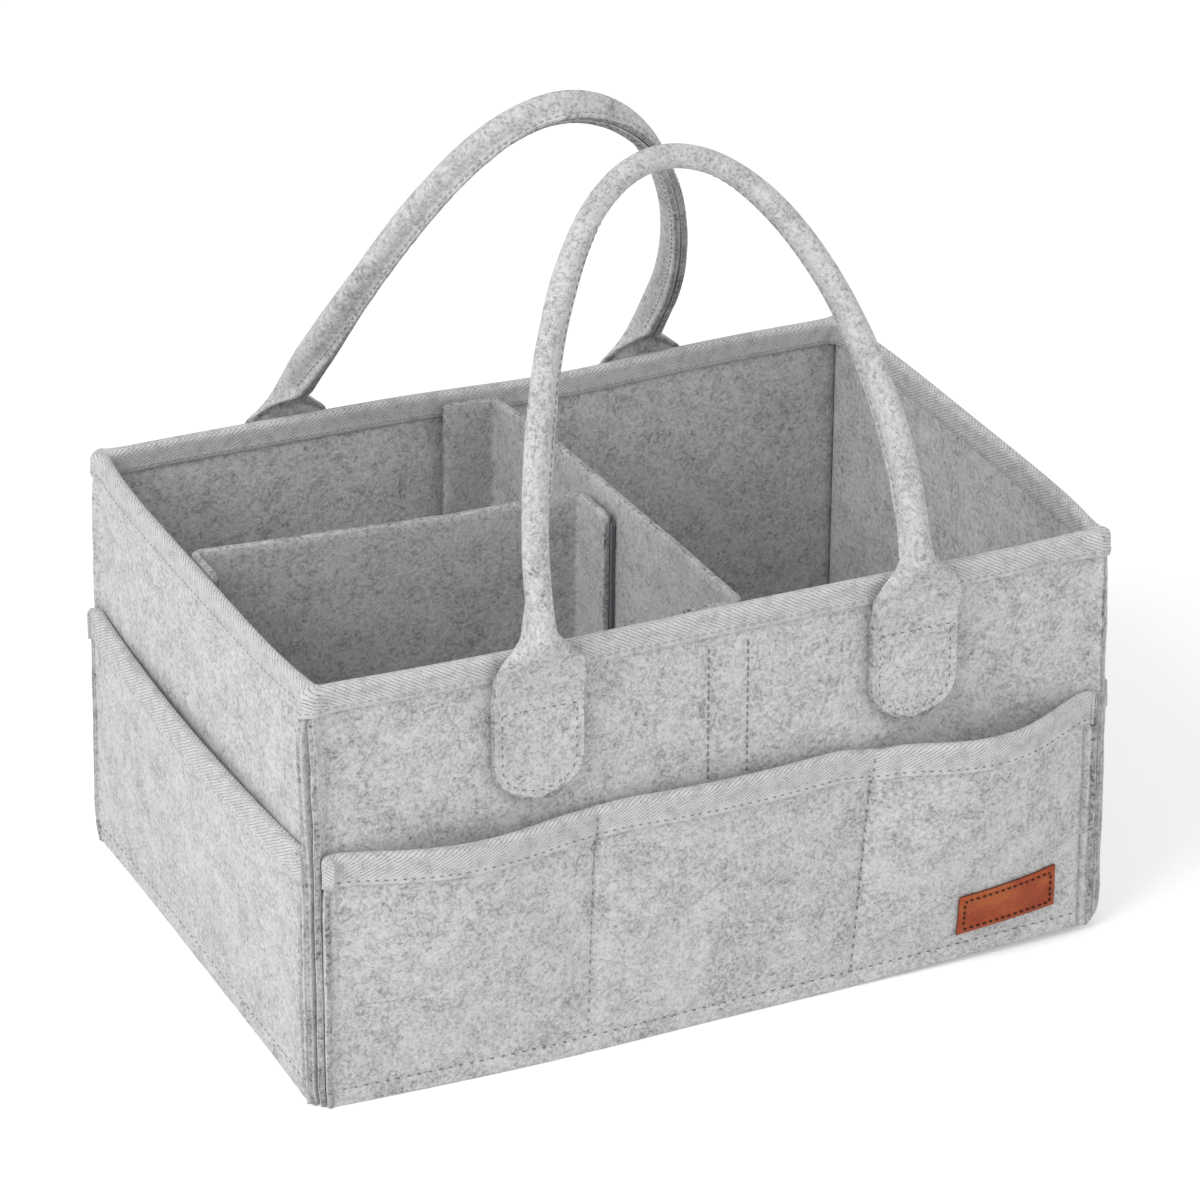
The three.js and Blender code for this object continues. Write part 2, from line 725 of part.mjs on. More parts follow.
const flap_strip_setback = flap_width - (strip_width / 2);
const to_back = new THREE.Vector2(0, 1);
const to_front = new THREE.Vector2(0, -1);
const to_right = new THREE.Vector2(1, 0);
const front_face = -inner_half_depth;
const back_face = inner_half_depth;
const end_face = -inner_half_length;
const end_strip_place = long_divider_place - end_strip_setback;
const cross_face = meeting.clone().addScaledVector(cross_left, felt / 2);
const cross_strip = cross_face.clone().addScaledVector(cross_run, end_strip_setback);
add_strip('front_wall_loop_strip', loop_colour, new THREE.Vector2(wall_strip_place, front_face), to_back, 0);
add_strip('back_wall_loop_strip', loop_colour, new THREE.Vector2(-wall_strip_place, back_face), to_front, 0);
add_strip('left_end_loop_strip', loop_colour, new THREE.Vector2(end_face, end_strip_place), to_right, 0);
add_strip('cross_divider_loop_strip', loop_colour, cross_strip, cross_left, 0);
add_strip(
  'cross_divider_front_hook_strip',
  hook_colour,
  new THREE.Vector2(cross_front.x - flap_strip_setback, front_face),
  to_back,
  1,
);
add_strip(
  'cross_divider_back_hook_strip',
  hook_colour,
  new THREE.Vector2(cross_back.x - flap_strip_setback, back_face),
  to_front,
  1,
);
add_strip(
  'lengthwise_divider_left_hook_strip',
  hook_colour,
  new THREE.Vector2(end_face, long_left.y - flap_strip_setback),
  to_right,
  1,
);
const long_hook = cross_face.clone().addScaledVector(cross_run, flap_strip_setback);
add_strip('lengthwise_divider_right_hook_strip', hook_colour, long_hook, cross_left, 1);

export default caddy;
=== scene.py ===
"""A felt nursery caddy: an open sewn box with outside pockets, two rolled handles and loose dividers."""

import json
import math

import bmesh
import bpy
import numpy as np
from mathutils import Matrix, Vector, noise
from mathutils.bvhtree import BVHTree


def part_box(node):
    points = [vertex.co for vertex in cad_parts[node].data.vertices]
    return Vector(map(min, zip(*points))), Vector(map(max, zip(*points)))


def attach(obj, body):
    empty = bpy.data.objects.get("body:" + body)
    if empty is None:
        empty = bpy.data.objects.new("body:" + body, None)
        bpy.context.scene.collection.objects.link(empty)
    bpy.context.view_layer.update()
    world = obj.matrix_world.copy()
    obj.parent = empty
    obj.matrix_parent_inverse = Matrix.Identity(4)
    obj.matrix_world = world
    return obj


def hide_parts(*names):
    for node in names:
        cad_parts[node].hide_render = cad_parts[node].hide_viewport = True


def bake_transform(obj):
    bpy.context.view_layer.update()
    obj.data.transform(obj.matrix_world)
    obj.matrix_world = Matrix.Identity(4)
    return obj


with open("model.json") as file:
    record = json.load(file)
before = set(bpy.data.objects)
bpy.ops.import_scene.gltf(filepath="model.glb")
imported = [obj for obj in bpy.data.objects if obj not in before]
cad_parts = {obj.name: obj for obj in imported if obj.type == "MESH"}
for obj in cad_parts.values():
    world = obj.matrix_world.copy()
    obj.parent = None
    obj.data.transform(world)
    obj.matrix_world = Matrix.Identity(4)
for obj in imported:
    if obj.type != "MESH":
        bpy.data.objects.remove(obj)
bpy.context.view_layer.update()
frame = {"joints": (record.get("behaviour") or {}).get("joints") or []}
mm = 0.001

# Walls: four panels of 3 mm needle-punched felt, cut by machine and sewn to each other at the corners.
# The seam allowances stay outside, so each corner shows a ridge of raw felt edges pinched together.
felt = 3 * mm
layer_gap = 0.3 * mm
worn_allowance = 6.2 * mm
squeeze = 0.4 * mm
base_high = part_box("base_panel")[1]
half_length = base_high.x + layer_gap
half_depth = base_high.y + layer_gap
floor_top = base_high.z
bottom_seam = floor_top - felt
wall_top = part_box("front_wall")[1].z
rim_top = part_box("rim_binding_tape")[1].z
sides = {
    "front": (0, half_length, half_depth),
    "right": (90, half_depth, half_length),
    "back": (180, half_length, half_depth),
    "left": (-90, half_depth, half_length),
}


def unit(vectors):
    """Vectors of length one."""
    return vectors / np.maximum(np.linalg.norm(vectors, axis=-1, keepdims=True), 1e-12)


def eased(value, low, high):
    """Rises smoothly from 0 at low to 1 at high."""
    share = np.clip((np.asarray(value, float) - low) / (high - low), 0, 1)
    return share * share * (3 - 2 * share)


def hump(value, middle, width):
    """A soft bump, 1 high at its middle."""
    return np.exp(-(((value - middle) / width) ** 2))


def bend(first, towards, last, count):
    """Points on a soft curve from one place to another, drawn towards a third."""
    share = np.linspace(0, 1, count)[:, None]
    return (1 - share) ** 2 * first + 2 * share * (1 - share) * towards + share**2 * last


def from_ends(count):
    """How many places each of a row lies from the nearer end."""
    return np.minimum(np.arange(count), np.arange(count)[::-1])


def on_side(side, along, out, height):
    """Points of the box, given along one side, out from its inside face, and up."""
    turn, _, reach = sides[side]
    cosine, sine = math.cos(math.radians(turn)), math.sin(math.radians(turn))
    along, out, height = np.broadcast_arrays(along, out, height)
    x, y = along, -(reach + out)
    return np.stack([x * cosine - y * sine, x * sine + y * cosine, height], axis=-1)


# How far each corner ridge leans along x and y: at its foot, over the pockets, under the rim tape, and at the rim.
corner_leans = {
    (-1, -1): ((-0.6, -1.8, -5.4, -3.6), (-0.6, 0.0, 0.6, 1.0)),
    (1, -1): ((0.3, 0.6, 0.9, 0.8), (-1.2, -0.9, -0.6, -0.4)),
    (-1, 1): ((2.0, 1.8, 1.6, 1.5), (0.0, 0.2, 0.5, 0.6)),
    (1, 1): ((0.0, 0.5, 1.2, 1.5), (0.0, -0.4, -0.8, -1.0)),
}


def settle(points, hangs=False):
    """Used felt slumps and swells: the walls bow out between the corners, the foot stands a little wider than the
    rim, the back rim sags, and the corner ridges lean over towards the rim. What hangs between the walls stays
    upright there and clears the rim tape when it is lifted out."""
    x, y, z = points[..., 0], points[..., 1], points[..., 2]
    rise = np.clip(z / rim_top, 0, 1)
    fade = 1 - eased(z, rim_top + 4 * mm, rim_top + 32 * mm)
    swell_x, swell_y = (1 - (np.clip(np.abs(v), 0, 1) ** 5) for v in (x / half_length, y / half_depth))
    front, back = (eased(way * y, 0.5 * half_depth, 0.94 * half_depth) for way in (-1, 1))
    left, right = (eased(way * x, 0.6 * half_length, 0.96 * half_length) for way in (-1, 1))

    def leaning_out(foot, rim, share=rise):
        return (foot + (rim - foot) * share) * mm * fade

    upright, clearing = (1.0, 1.4 * mm) if hangs else (rise, 0.0)
    move_y = back * (leaning_out(4.6 - swell_x, 0.8 + 1.6 * swell_x, upright) - clearing) - (
        front * (leaning_out(4.2 + 1.8 * swell_x, 0.4 + 1.8 * swell_x, upright) - clearing)
    )
    move_x = right * leaning_out(2.6 - 0.8 * swell_y, -0.6 + 4.4 * swell_y) - (
        left * leaning_out(3.0 - swell_y, 1.6 + 4.2 * swell_y)
    )
    pushed_out = 2.2 * mm * front * hump(x, -75 * mm, 65 * mm) * (1 - rise) ** 2
    move_y = move_y - (0.0 if hangs else pushed_out)
    move_y = move_y + 0.5 * mm * rise * fade * np.sin(x / half_length * 5.1 + 0.6) * (front + back)
    sag = 3.4 * mm * back * hump(x, 35 * mm, 55 * mm) + 0.4 * mm * front * swell_x
    ridge = np.clip(np.minimum(np.abs(x) - half_length, np.abs(y) - half_depth) / (5.7 * mm), 0, 1.1)
    for (way_x, way_y), leans in corner_leans.items():
        here = ridge * (x * way_x > 0) * (y * way_y > 0) * mm
        lean_x, lean_y = (np.interp(rise, (0, 0.6, 0.86, 1), lean) for lean in leans)
        move_x, move_y = move_x + lean_x * here, move_y + lean_y * here
    # The right front corner's foot stands a little clear of the table.
    lifted = 3.2 * mm * front * eased(x, 20 * mm, half_length) * np.clip(1 - z / (55 * mm), 0, 1) ** 2
    return np.stack([x + move_x, y + move_y, z + lifted - (sag * rise**2 * fade)], axis=-1)


def ruffle(points, amount, size, seed):
    """A smooth random number for each point, from -amount to amount, in waves of the given size."""
    flat = points.reshape(-1, 3) / size
    values = [noise.noise(Vector((x + seed, y - seed, z + 2 * seed))) for x, y, z in flat]
    return amount * np.array(values).reshape(points.shape[:-1])


# One fixed seed, so that the cut edges fray alike each time.
noise.seed_set(1)


def thick_sheet(name, middle, thickness, materials, closed=False, pressed=0.0, ragged=0.12 * mm, edge_columns=0):
    """A closed body round a grid of points on the middle of a material, with rounded and slightly ragged cut edges.

    pressed is how far the outer face is drawn in, and the cut edges take the second material."""
    rows, columns = middle.shape[:2]
    if closed:
        across = np.roll(middle, -1, axis=1) - np.roll(middle, 1, axis=1)
    else:
        across = np.gradient(middle, axis=1)
    along = np.gradient(middle, axis=0)
    normal = unit(np.cross(unit(across), unit(along)))
    edge = np.zeros_like(middle)
    edge[0] += unit(middle[0] - middle[1])
    edge[-1] += unit(middle[-1] - middle[-2])
    if not closed:
        edge[:, 0] += unit(middle[:, 0] - middle[:, 1])
        edge[:, -1] += unit(middle[:, -1] - middle[:, -2])
    soft = min(0.45 * mm, 0.3 * thickness)
    depth = np.broadcast_to(pressed, middle.shape[:2])[..., None]
    outer = middle + normal * (thickness / 2 - depth) - edge * soft
    inner = middle - normal * (thickness / 2) - edge * soft

    index = np.arange(rows * columns).reshape(rows, columns)
    loops = [index[0].tolist(), index[-1].tolist()]
    if not closed:
        border = [index[0, :-1], index[:-1, -1], index[-1, :0:-1], index[:0:-1, 0]]
        loops = [np.concatenate(border).tolist()]
    points = [outer.reshape(-1, 3), inner.reshape(-1, 3)]
    flat_middle, flat_normal, flat_edge = (a.reshape(-1, 3) for a in (middle, normal, edge))
    total = rows * columns
    faces, face_materials, keys = [], [], []
    step_u = np.linalg.norm(np.diff(middle, axis=1), axis=2).mean(axis=0)
    turn_u = np.linalg.norm(middle[:, 0] - middle[:, -1], axis=1).mean() if closed else 0.0
    u = np.concatenate([[0], np.cumsum(step_u), [step_u.sum() + turn_u]])
    v = np.concatenate([[0], np.cumsum(np.linalg.norm(np.diff(middle, axis=0), axis=2).mean(axis=1))])
    last = columns if closed else columns - 1
    for row in range(rows - 1):
        for column in range(last):
            corners = [(row, column), (row, column + 1), (row + 1, column + 1), (row + 1, column)]
            spots = [int(index[r, c % columns]) for r, c in corners]
            places = [(u[c], v[r]) for r, c in corners]
            at_edge = not closed and (column < edge_columns or column >= last - edge_columns)
            faces += [spots[::-1], [s + total for s in spots]]
            keys += [places[::-1], places]
            face_materials += [1 if at_edge else 0] * 2
    start = 2 * total
    for loop in loops:
        count = len(loop)
        base = flat_middle[loop]
        wild = np.array([noise.noise_vector(Vector(p) / (1.1 * mm)) for p in base]) * ragged
        rings = [
            base + flat_normal[loop] * (thickness / 2 - soft) + wild,
            base + flat_edge[loop] * 0.3 * soft - wild,
            base - flat_normal[loop] * (thickness / 2 - soft) + wild,
        ]
        points += rings
        numbers = [list(loop)] + [list(range(start + k * count, start + (k + 1) * count)) for k in range(3)]
        numbers.append([s + total for s in loop])
        start += 3 * count
        for level in range(4):
            for here in range(count):
                there = (here + 1) % count
                upper, lower = numbers[level], numbers[level + 1]
                faces.append([upper[here], upper[there], lower[there], lower[here]])
                spots = [(loop[n] // columns, loop[n] % columns) for n in (here, there, there, here)]
                keys.append([(u[c], v[r]) for r, c in spots])
                face_materials.append(1 if level in (1, 2) else 0)
    return mesh_piece(name, np.concatenate(points), faces, materials, face_materials, keys)


def mesh_piece(name, points, faces, materials, face_materials=None, keys=None):
    """A smooth-shaded mesh that remembers where its fibres lie and, where given, its cloth coordinates in metres."""
    mesh = bpy.data.meshes.new(name)
    mesh.from_pydata(np.asarray(points).tolist(), [], faces)
    if keys is not None:
        layer = mesh.uv_layers.new(name="cloth")
        layer.data.foreach_set("uv", np.array([spot for face in keys for spot in face], np.float32).ravel())
    if face_materials is not None:
        mesh.polygons.foreach_set("material_index", face_materials)
    mesh.polygons.foreach_set("use_smooth", [True] * len(mesh.polygons))
    for material in materials:
        mesh.materials.append(material)
    made = bmesh.new()
    made.from_mesh(mesh)
    bmesh.ops.recalc_face_normals(made, faces=made.faces)
    made.to_mesh(mesh)
    made.free()
    place = mesh.attributes.new("fibre_place", "FLOAT_VECTOR", "POINT")
    coordinates = np.zeros(len(mesh.vertices) * 3, np.float32)
    mesh.vertices.foreach_get("co", coordinates)
    place.data.foreach_set("vector", coordinates)
    piece = bpy.data.objects.new(name, mesh)
    bpy.context.scene.collection.objects.link(piece)
    return piece


def linear(colour):
    """The linear colour of an sRGB hex value."""
    parts = [int(colour[k : k + 2], 16) / 255 for k in (1, 3, 5)]
    return [p / 12.92 if p <= 0.04045 else ((p + 0.055) / 1.055) ** 2.4 for p in parts] + [1.0]


def add(owner, kind, inputs=None, stops=None, **settings):
    """Adds a node with its settings, colour stops and inputs, which are values or sockets, and gives its outputs."""
    node = owner.node_tree.nodes.new("ShaderNode" + kind)
    for key, value in settings.items():
        setattr(node, key, value)
    for key, value in (inputs or {}).items():
        if isinstance(value, bpy.types.NodeSocket):
            owner.node_tree.links.new(value, node.inputs[key])
        else:
            node.inputs[key].default_value = value
    if stops:
        elements = node.color_ramp.elements
        while len(elements) < len(stops):
            elements.new(0.5)
        for element, (position, colour) in zip(elements, stops):
            element.position = position
            element.color = linear(colour)
    return node.outputs


def blank(owner):
    """A material or world with its nodes cleared."""
    owner.use_nodes = True
    owner.node_tree.nodes.clear()
    return owner


def heather_felt(name, shades, fibre):
    """Needle-punched wool-look felt: light grey marbled with darker fibres in short curved streaks, matt and woolly.

    The sizes are those of its blotches. The nap is finer than 0.7 mm, but is drawn that coarse so that it shows."""
    material = blank(bpy.data.materials.new(name))
    place = add(material, "Attribute", attribute_name="fibre_place")["Vector"]
    drawn = {}
    for blotch, size, detail, roughness, distortion in (
        ("cloud", 14.3 * mm, 2.0, 0.5, 0.0),
        ("streak", 4.35 * mm, 3.0, 0.6, 1.6),
        ("speck", 1.316 * mm, 3.0, 0.7, 0.7),
        ("fibre", 2.38 * mm, 1.0, 0.5, 2.2),
        ("patch", 3.226 * mm, 1.0, 0.5, 0.0),
        ("nap", 0.69 * mm, 3.0, 0.65, 0.0),
    ):
        inputs = {"Vector": place, "Scale": 1 / size, "Detail": detail, "Roughness": roughness}
        drawn[blotch] = add(material, "TexNoise", inputs | {"Distortion": distortion})["Fac"]
    mottled = 0.10
    for blotch, weight in (("cloud", 0.16), ("streak", 0.34), ("speck", 0.50)):
        mottled = add(material, "Math", {0: drawn[blotch], 1: weight, 2: mottled}, operation="MULTIPLY_ADD")[0]
    body = add(material, "ValToRGB", {"Fac": mottled}, shades)["Color"]
    # Single dark fibres: thin lines where a noise passes its middle value, kept only in patches.
    middle = add(material, "Math", {0: drawn["fibre"], 1: 0.5}, operation="SUBTRACT")[0]
    width = add(material, "Math", {0: middle}, operation="ABSOLUTE")[0]
    inputs = {"Value": width, "From Min": 0.006, "From Max": 0.022, "To Min": 1.0, "To Max": 0.0}
    thin = add(material, "MapRange", inputs)[0]
    inputs = {"Value": drawn["patch"], "From Min": 0.5, "From Max": 0.6, "To Min": 0.0, "To Max": 0.8}
    kept = add(material, "MapRange", inputs)[0]
    strength = add(material, "Math", {0: thin, 1: kept}, operation="MULTIPLY")[0]
    colour = add(material, "Mix", {0: strength, 6: body, 7: linear(fibre)}, data_type="RGBA")[2]
    bump = add(material, "Bump", {"Strength": 0.5, "Distance": 0.9 * mm, "Height": drawn["streak"]})[0]
    inputs = {"Strength": 0.55, "Distance": 0.5 * mm, "Height": drawn["nap"], "Normal": bump}
    bump = add(material, "Bump", inputs)[0]
    inputs = {"Base Color": colour, "Roughness": 0.95, "IOR": 1.45, "Specular IOR Level": 0.2, "Normal": bump}
    inputs |= {"Sheen Weight": 0.25, "Sheen Roughness": 0.6}
    add(material, "OutputMaterial", {"Surface": add(material, "BsdfPrincipled", inputs)[0]})
    return material


grey_shades = [(0.44, "#7d7d80"), (0.52, "#a4a4a6"), (0.60, "#c6c6c7"), (0.70, "#d9d9da")]
# The cut edges are drawn far darker than the felt itself: painted shade of the gaps between the layers at raw edges.
painted_shade_cut_shades = [(0.44, "#2c2c2f"), (0.51, "#646467"), (0.58, "#98989a"), (0.70, "#c2c2c3")]
grey_felt = heather_felt("heather_grey_felt", grey_shades, "#5c5c5f")
painted_shade_cut_felt = heather_felt("cut_edge_of_grey_felt_with_painted_shade", painted_shade_cut_shades, "#262629")
felt_and_painted_shade_edge = [grey_felt, painted_shade_cut_felt]
root = math.sqrt(2)


def seam_to_seam(side, out, off_diagonal, allowances, stations, gape):
    """Places of one felt layer across a side, from raw edge to raw edge: along the side, and out from its inside.

    The layer turns through a soft bend at each corner and runs out beside the corner's diagonal: closed where it is
    sewn, gaping at the raw edge."""
    half_span = sides[side][1]
    corner = np.array([half_span - root * off_diagonal + out, out])
    at_tip = off_diagonal + gape
    ends = []
    for allowance in allowances:
        tip = np.array([half_span + (allowance - at_tip) / root, (allowance + at_tip) / root])
        start = corner - [2.6 * mm, 0]
        finish = corner + min(2.2 * mm, 0.5 * np.linalg.norm(tip - corner)) / root
        run = finish + (tip - finish) * np.array([[0.35], [0.7], [1.0]])
        ends.append(np.concatenate([bend(start, corner, finish, 7), run]))
    flat = np.stack([np.asarray(stations) * start[0], np.full(len(stations), out)], axis=1)
    return np.concatenate([ends[0][::-1] * [-1, 1], flat, ends[1]])


def seam_edge(heights, seed):
    """The seam allowance at each height: cut a little unevenly, tucked in at the foot and pinched under the tape."""
    tuck = np.clip(1 - heights / (12 * mm), 0, 1) ** 2
    pinch = eased(heights, rim_top - 17 * mm, rim_top - 10 * mm)
    uneven = [noise.noise(Vector((seed, 3.1 * seed, h / (17 * mm)))) for h in heights]
    return worn_allowance - 2.4 * mm * tuck - 0.8 * mm * pinch + 0.6 * mm * np.array(uneven) * (1 - pinch)


def seam_gape(height):
    """How far a corner seam's layers part at a height, on each side of the seam."""
    slow = noise.noise(Vector((4.2, 1.3, height / (38 * mm))))
    quick = noise.noise(Vector((7.7, 2.9, height / (9 * mm))))
    above = eased(height, rim_top - 72 * mm, rim_top - 60 * mm)
    held = 1 - 0.85 * eased(height, rim_top - 26 * mm, rim_top - 13 * mm)
    return mm * held * (0.6 + 0.4 * slow + 0.3 * quick + 0.5 * above)


def ridge_press(columns):
    """How far the outer face is squeezed in at each column of a layer, where the corner seam grips it."""
    return squeeze * (1 - eased(from_ends(columns), 4, 9))


def ride_on(piece, body, stands_for=()):
    """Names what carries a piece, and the plain solids that it takes the place of."""
    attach(piece, body)
    if stands_for:
        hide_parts(*stands_for)
    return piece


wall_nodes = {"front": "front_wall", "right": "right_end_wall", "back": "back_wall", "left": "left_end_wall"}
walls = {}
wall_off = layer_gap / 2 + felt / 2
wall_heights = np.array([*np.linspace(0, 20 * mm, 8), *np.linspace(26 * mm, wall_top - mm, 26), wall_top])
for seed, (side, node) in enumerate(wall_nodes.items()):
    stations = np.linspace(-0.99, 0.99, 45)
    rows = []
    for height, allowance in zip(wall_heights, seam_edge(wall_heights, 1.7 + seed)):
        path = seam_to_seam(side, felt / 2, wall_off, (allowance, allowance), stations, seam_gape(height))
        rows.append(on_side(side, *path.T, height))
    middle = settle(np.array(rows))
    gripped = 1 - 0.8 * eased(wall_heights, rim_top - 75 * mm, rim_top - 64 * mm)
    press = gripped[:, None] * ridge_press(middle.shape[1])
    wall = thick_sheet(f"{node}_felt", middle, felt, felt_and_painted_shade_edge, pressed=press, ragged=0.25 * mm)
    ride_on(wall, "basket", [node])
    walls[side] = wall

# Base: one felt panel. Its edges are turned down inside the walls and sewn through them 7 mm above the table,
# so the caddy stands on the raw edges and the floor hangs clear of the table.
base_middle = floor_top - felt / 2
skirt_length = half_length - layer_gap - felt / 2
skirt_depth = half_depth - layer_gap - felt / 2


def at_height(line, height):
    """A line on the table, lifted to a height."""
    return np.column_stack([line, np.full(len(line), height)])


def rounded_ring(half_x, half_y):
    """An outline round the base, with nine points round each corner and 27 along each side."""
    rounding = min(4 * mm, half_y)
    arcs = []
    for k, ways in enumerate([(1, 1), (-1, 1), (-1, -1), (1, -1)]):
        turn = np.radians(np.linspace(90 * k, 90 * (k + 1), 10))[:, None]
        centre = np.array(ways) * [half_x - rounding, half_y - rounding]
        arcs.append(centre + rounding * np.hstack([np.cos(turn), np.sin(turn)]))
    ring = []
    for arc, following in zip(arcs, arcs[1:] + arcs[:1]):
        shares = np.linspace(0, 1, 27, endpoint=False)[:, None]
        ring += [arc[:-1], arc[-1] + (following[0] - arc[-1]) * shares]
    return np.concatenate(ring)


# Rings from the middle outwards, then over the turned-down edge: how far in from the skirt, and how far down.
base_rings = [(skirt_depth * share, 0.0) for share in (1.0, 0.8, 0.6, 0.4, 0.2, 0.08)]
turned_down = [(3.6, 0.0), (2.2, 0.25), (0.9, 1.1), (0.2, 2.6), (0.0, 4.6), (0.0, 7.2)]
base_rings += [(inset * mm, drop * mm) for inset, drop in turned_down] + [(0.0, base_middle - 0.4 * mm)]
rows = []
for inset, drop in base_rings:
    ring = rounded_ring(skirt_length - inset, max(skirt_depth - inset, 1e-7))
    rows.append(at_height(ring, base_middle - drop))
base_grid = np.array(rows)
base_grid[..., 2] += ruffle(base_grid, 0.5 * mm, 55 * mm, 4.0) * (base_grid[..., 2] > base_middle - 0.1 * mm)
base = thick_sheet("base_panel_felt", settle(base_grid), felt, felt_and_painted_shade_edge, closed=True)
ride_on(base, "basket", ["base_panel"])

# Outside pockets: a felt strip over each wall, caught in the corner seams and the bottom seam.
# Two stitch lines part the long strips into three pockets, which stand open and swell between their seams.
pocket_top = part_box("left_pocket_panel")[1].z
# The two stitch lines were sewn a little aslant: where each stands at the foot and at the top, and how far the
# strip stands off and drops at their tops.
pocket_divides = [(-59.2 * mm, -56.7 * mm), (57.8 * mm, 64 * mm)]
divide_slack = [(1.2 * mm, 1.2 * mm), (2 * mm, 2.6 * mm)]
divide_spread = 9 * mm
long_fullness = [8 * mm, 4.6 * mm, 15 * mm]
long_sags = [2 * mm, 0.7 * mm, 1.6 * mm]
end_fullness = 2.6 * mm
binding = 0.8 * mm
top_seat = 2 * layer_gap + binding
pocket_off = layer_gap + felt - squeeze + felt / 2
stitched_height = 7.2 * mm


def pocket_seams(side, share):
    """Places of a strip's seams along its side, at a share of its height."""
    edge = sides[side][1] - 4.5 * mm
    divides = [foot + (top - foot) * share for foot, top in pocket_divides] if side in ("front", "back") else []
    return [-edge, *divides, edge]


def pocket_swell(side, along, share):
    """How far a pocket swells out, and how far its edge sags, at places along it and a share of its height."""
    stitches = pocket_seams(side, share)
    edge = stitches[-1]
    fullness = long_fullness if len(stitches) > 2 else [end_fullness]
    sags = long_sags if len(stitches) > 2 else [0.0]
    lift = np.sin(math.pi / 2 * np.clip(share, 0, 1)) ** 1.1
    swell, drop = np.zeros_like(along), np.zeros_like(along)
    for start, end, full, sag in zip(stitches, stitches[1:], fullness, sags):
        here = (along >= start) & (along <= end)
        part = np.clip((along - start) / (end - start), 0, 1)
        # It leaves a stitch line at once, and a corner seam in a soft valley.
        slow = 0.55 * (1 - part) * (start == -edge) + 0.55 * part * (end == edge)
        wave = np.where(here, np.sin(math.pi * part) ** (0.8 + slow), 0)
        swell, drop = swell + full * lift * wave, drop + sag * share * wave
    for place, (off, low) in zip(stitches[1:-1], divide_slack):
        near = share**2 * hump(along, place, divide_spread)
        swell, drop = swell + off * near, drop + low * near
    return swell, drop


def pocket_stations(side, share):
    """Places along a side, closer together towards the stitch lines, as shares of the flat part of the strip."""
    stitches = pocket_seams(side, share)
    edge = stitches[-1]
    places = [way * (edge - beside) for way in (-1, 1) for beside in (0.0, 0.4 * mm, 1.1 * mm, 1.9 * mm)]
    for start, end in zip(stitches, stitches[1:]):
        spread = [start + (end - start) * (1 - math.cos(math.pi * k / 18)) / 2 for k in range(18)]
        places += [place for place in spread if edge - abs(place) >= 0.9 * mm]
    return np.array(sorted(set(places))) / (sides[side][1] - 3.6 * mm)


def pocket_row(side, share, level=None, offset=0.0, extra=0.0):
    """One level of a pocket strip from raw edge to raw edge, offset outwards from the middle of its felt."""
    height = bottom_seam + (pocket_top - bottom_seam) * share if level is None else level
    seat = layer_gap + (top_seat - layer_gap) * share
    allowance = seam_edge(np.array([height]), 9.3 + sides[side][0])[0] - 0.4 * mm + extra
    allowances = (allowance, allowance - (1.0 * mm if side == "front" else 0.0))
    middle_out = felt + seat + felt / 2 + offset
    off = pocket_off + (seat - layer_gap) * eased(share, 0.8, 0.9) + offset
    gape = 1.3 * seam_gape(height) + 0.25 * mm
    path = seam_to_seam(side, middle_out, off, allowances, pocket_stations(side, share), gape)
    along, out, heights = path[:, 0], path[:, 1].copy(), np.full(len(path), height)
    flat = slice(10, -10)
    if level is None:
        swell, drop = pocket_swell(side, along[flat], share)
        out[flat] += swell
        heights[flat] -= drop
    return along, out, heights


def travelled(line):
    """How far along a line each of its points lies."""
    return np.concatenate([[0], np.cumsum(np.linalg.norm(np.diff(line, axis=0), axis=1))])


foot_levels = [(height * mm, 0) for height in (0, 1.0, 3.0, 5.0, 6.2, 7.2)]
panel_shares = [0, 0.008, 0.02, 0.04, 0.07, 0.11, 0.16, 0.22, 0.3, 0.39, 0.48, 0.57, 0.66, 0.75, 0.83, 0.9, 0.96, 1]
pocket_panels = {}
for seed, side in enumerate(sides):
    rows, presses = [], []
    for level, share in foot_levels + [(None, share) for share in panel_shares]:
        along, out, heights = pocket_row(side, share, level)
        divides = pocket_seams(side, share)[1:-1]
        near = np.min([np.abs(along - place) for place in divides] or [np.ones(len(along))], axis=0)
        # The pocket stitches and the bottom seam press the felt in, with a small pucker where they meet.
        pucker = hump(near, 4 * mm, 3.5 * mm) * hump(heights, 13 * mm, 4 * mm)
        press = 0.9 * hump(near, 0, 1.1 * mm) + 0.7 * hump(heights, stitched_height, mm) + 1.1 * pucker
        # The corner seam draws it in beside the ridge.
        beside = hump(np.abs(along), sides[side][1] - 4.8 * mm, 0.9 * mm) * np.where(along > 0, 1.9, 0.4)
        press = press * eased(from_ends(len(press)), 9, 16) + beside
        presses.append(mm * press + ridge_press(len(press)))
        rows.append(on_side(side, along, out, heights))
    middle, presses = settle(np.array(rows)), np.array(presses)
    wave = ruffle(middle, 0.8 * mm, 32 * mm, 2.0 + seed)[..., None]
    outward = on_side(side, 0.0, 1.0, 0.0) - on_side(side, 0.0, 0.0, 0.0)
    heights = middle[..., 2:3]
    calm = (presses < 0.3 * mm)[..., None] * eased(heights, bottom_seam, 30 * mm)
    calm = calm * (1 - eased(heights, pocket_top - 24 * mm, pocket_top - 13 * mm))
    calm[:, :12], calm[:, -12:] = 0.0, 0.0
    middle = middle + outward * np.maximum(wave, -0.2 * mm) * calm
    name = f"{side}_pocket_panel_felt"
    piece = thick_sheet(name, middle, felt, felt_and_painted_shade_edge, pressed=presses, ragged=0.25 * mm)
    ride_on(piece, "basket", [f"{side}_pocket_panel"])
    pocket_panels[side] = piece

# Pocket bindings: 25 mm herringbone cotton tape folded over each pocket's top edge and sewn on near its edge.
# The ribs run up to the right outside and mirror at the fold; the tape's ends are caught in the corner seams.


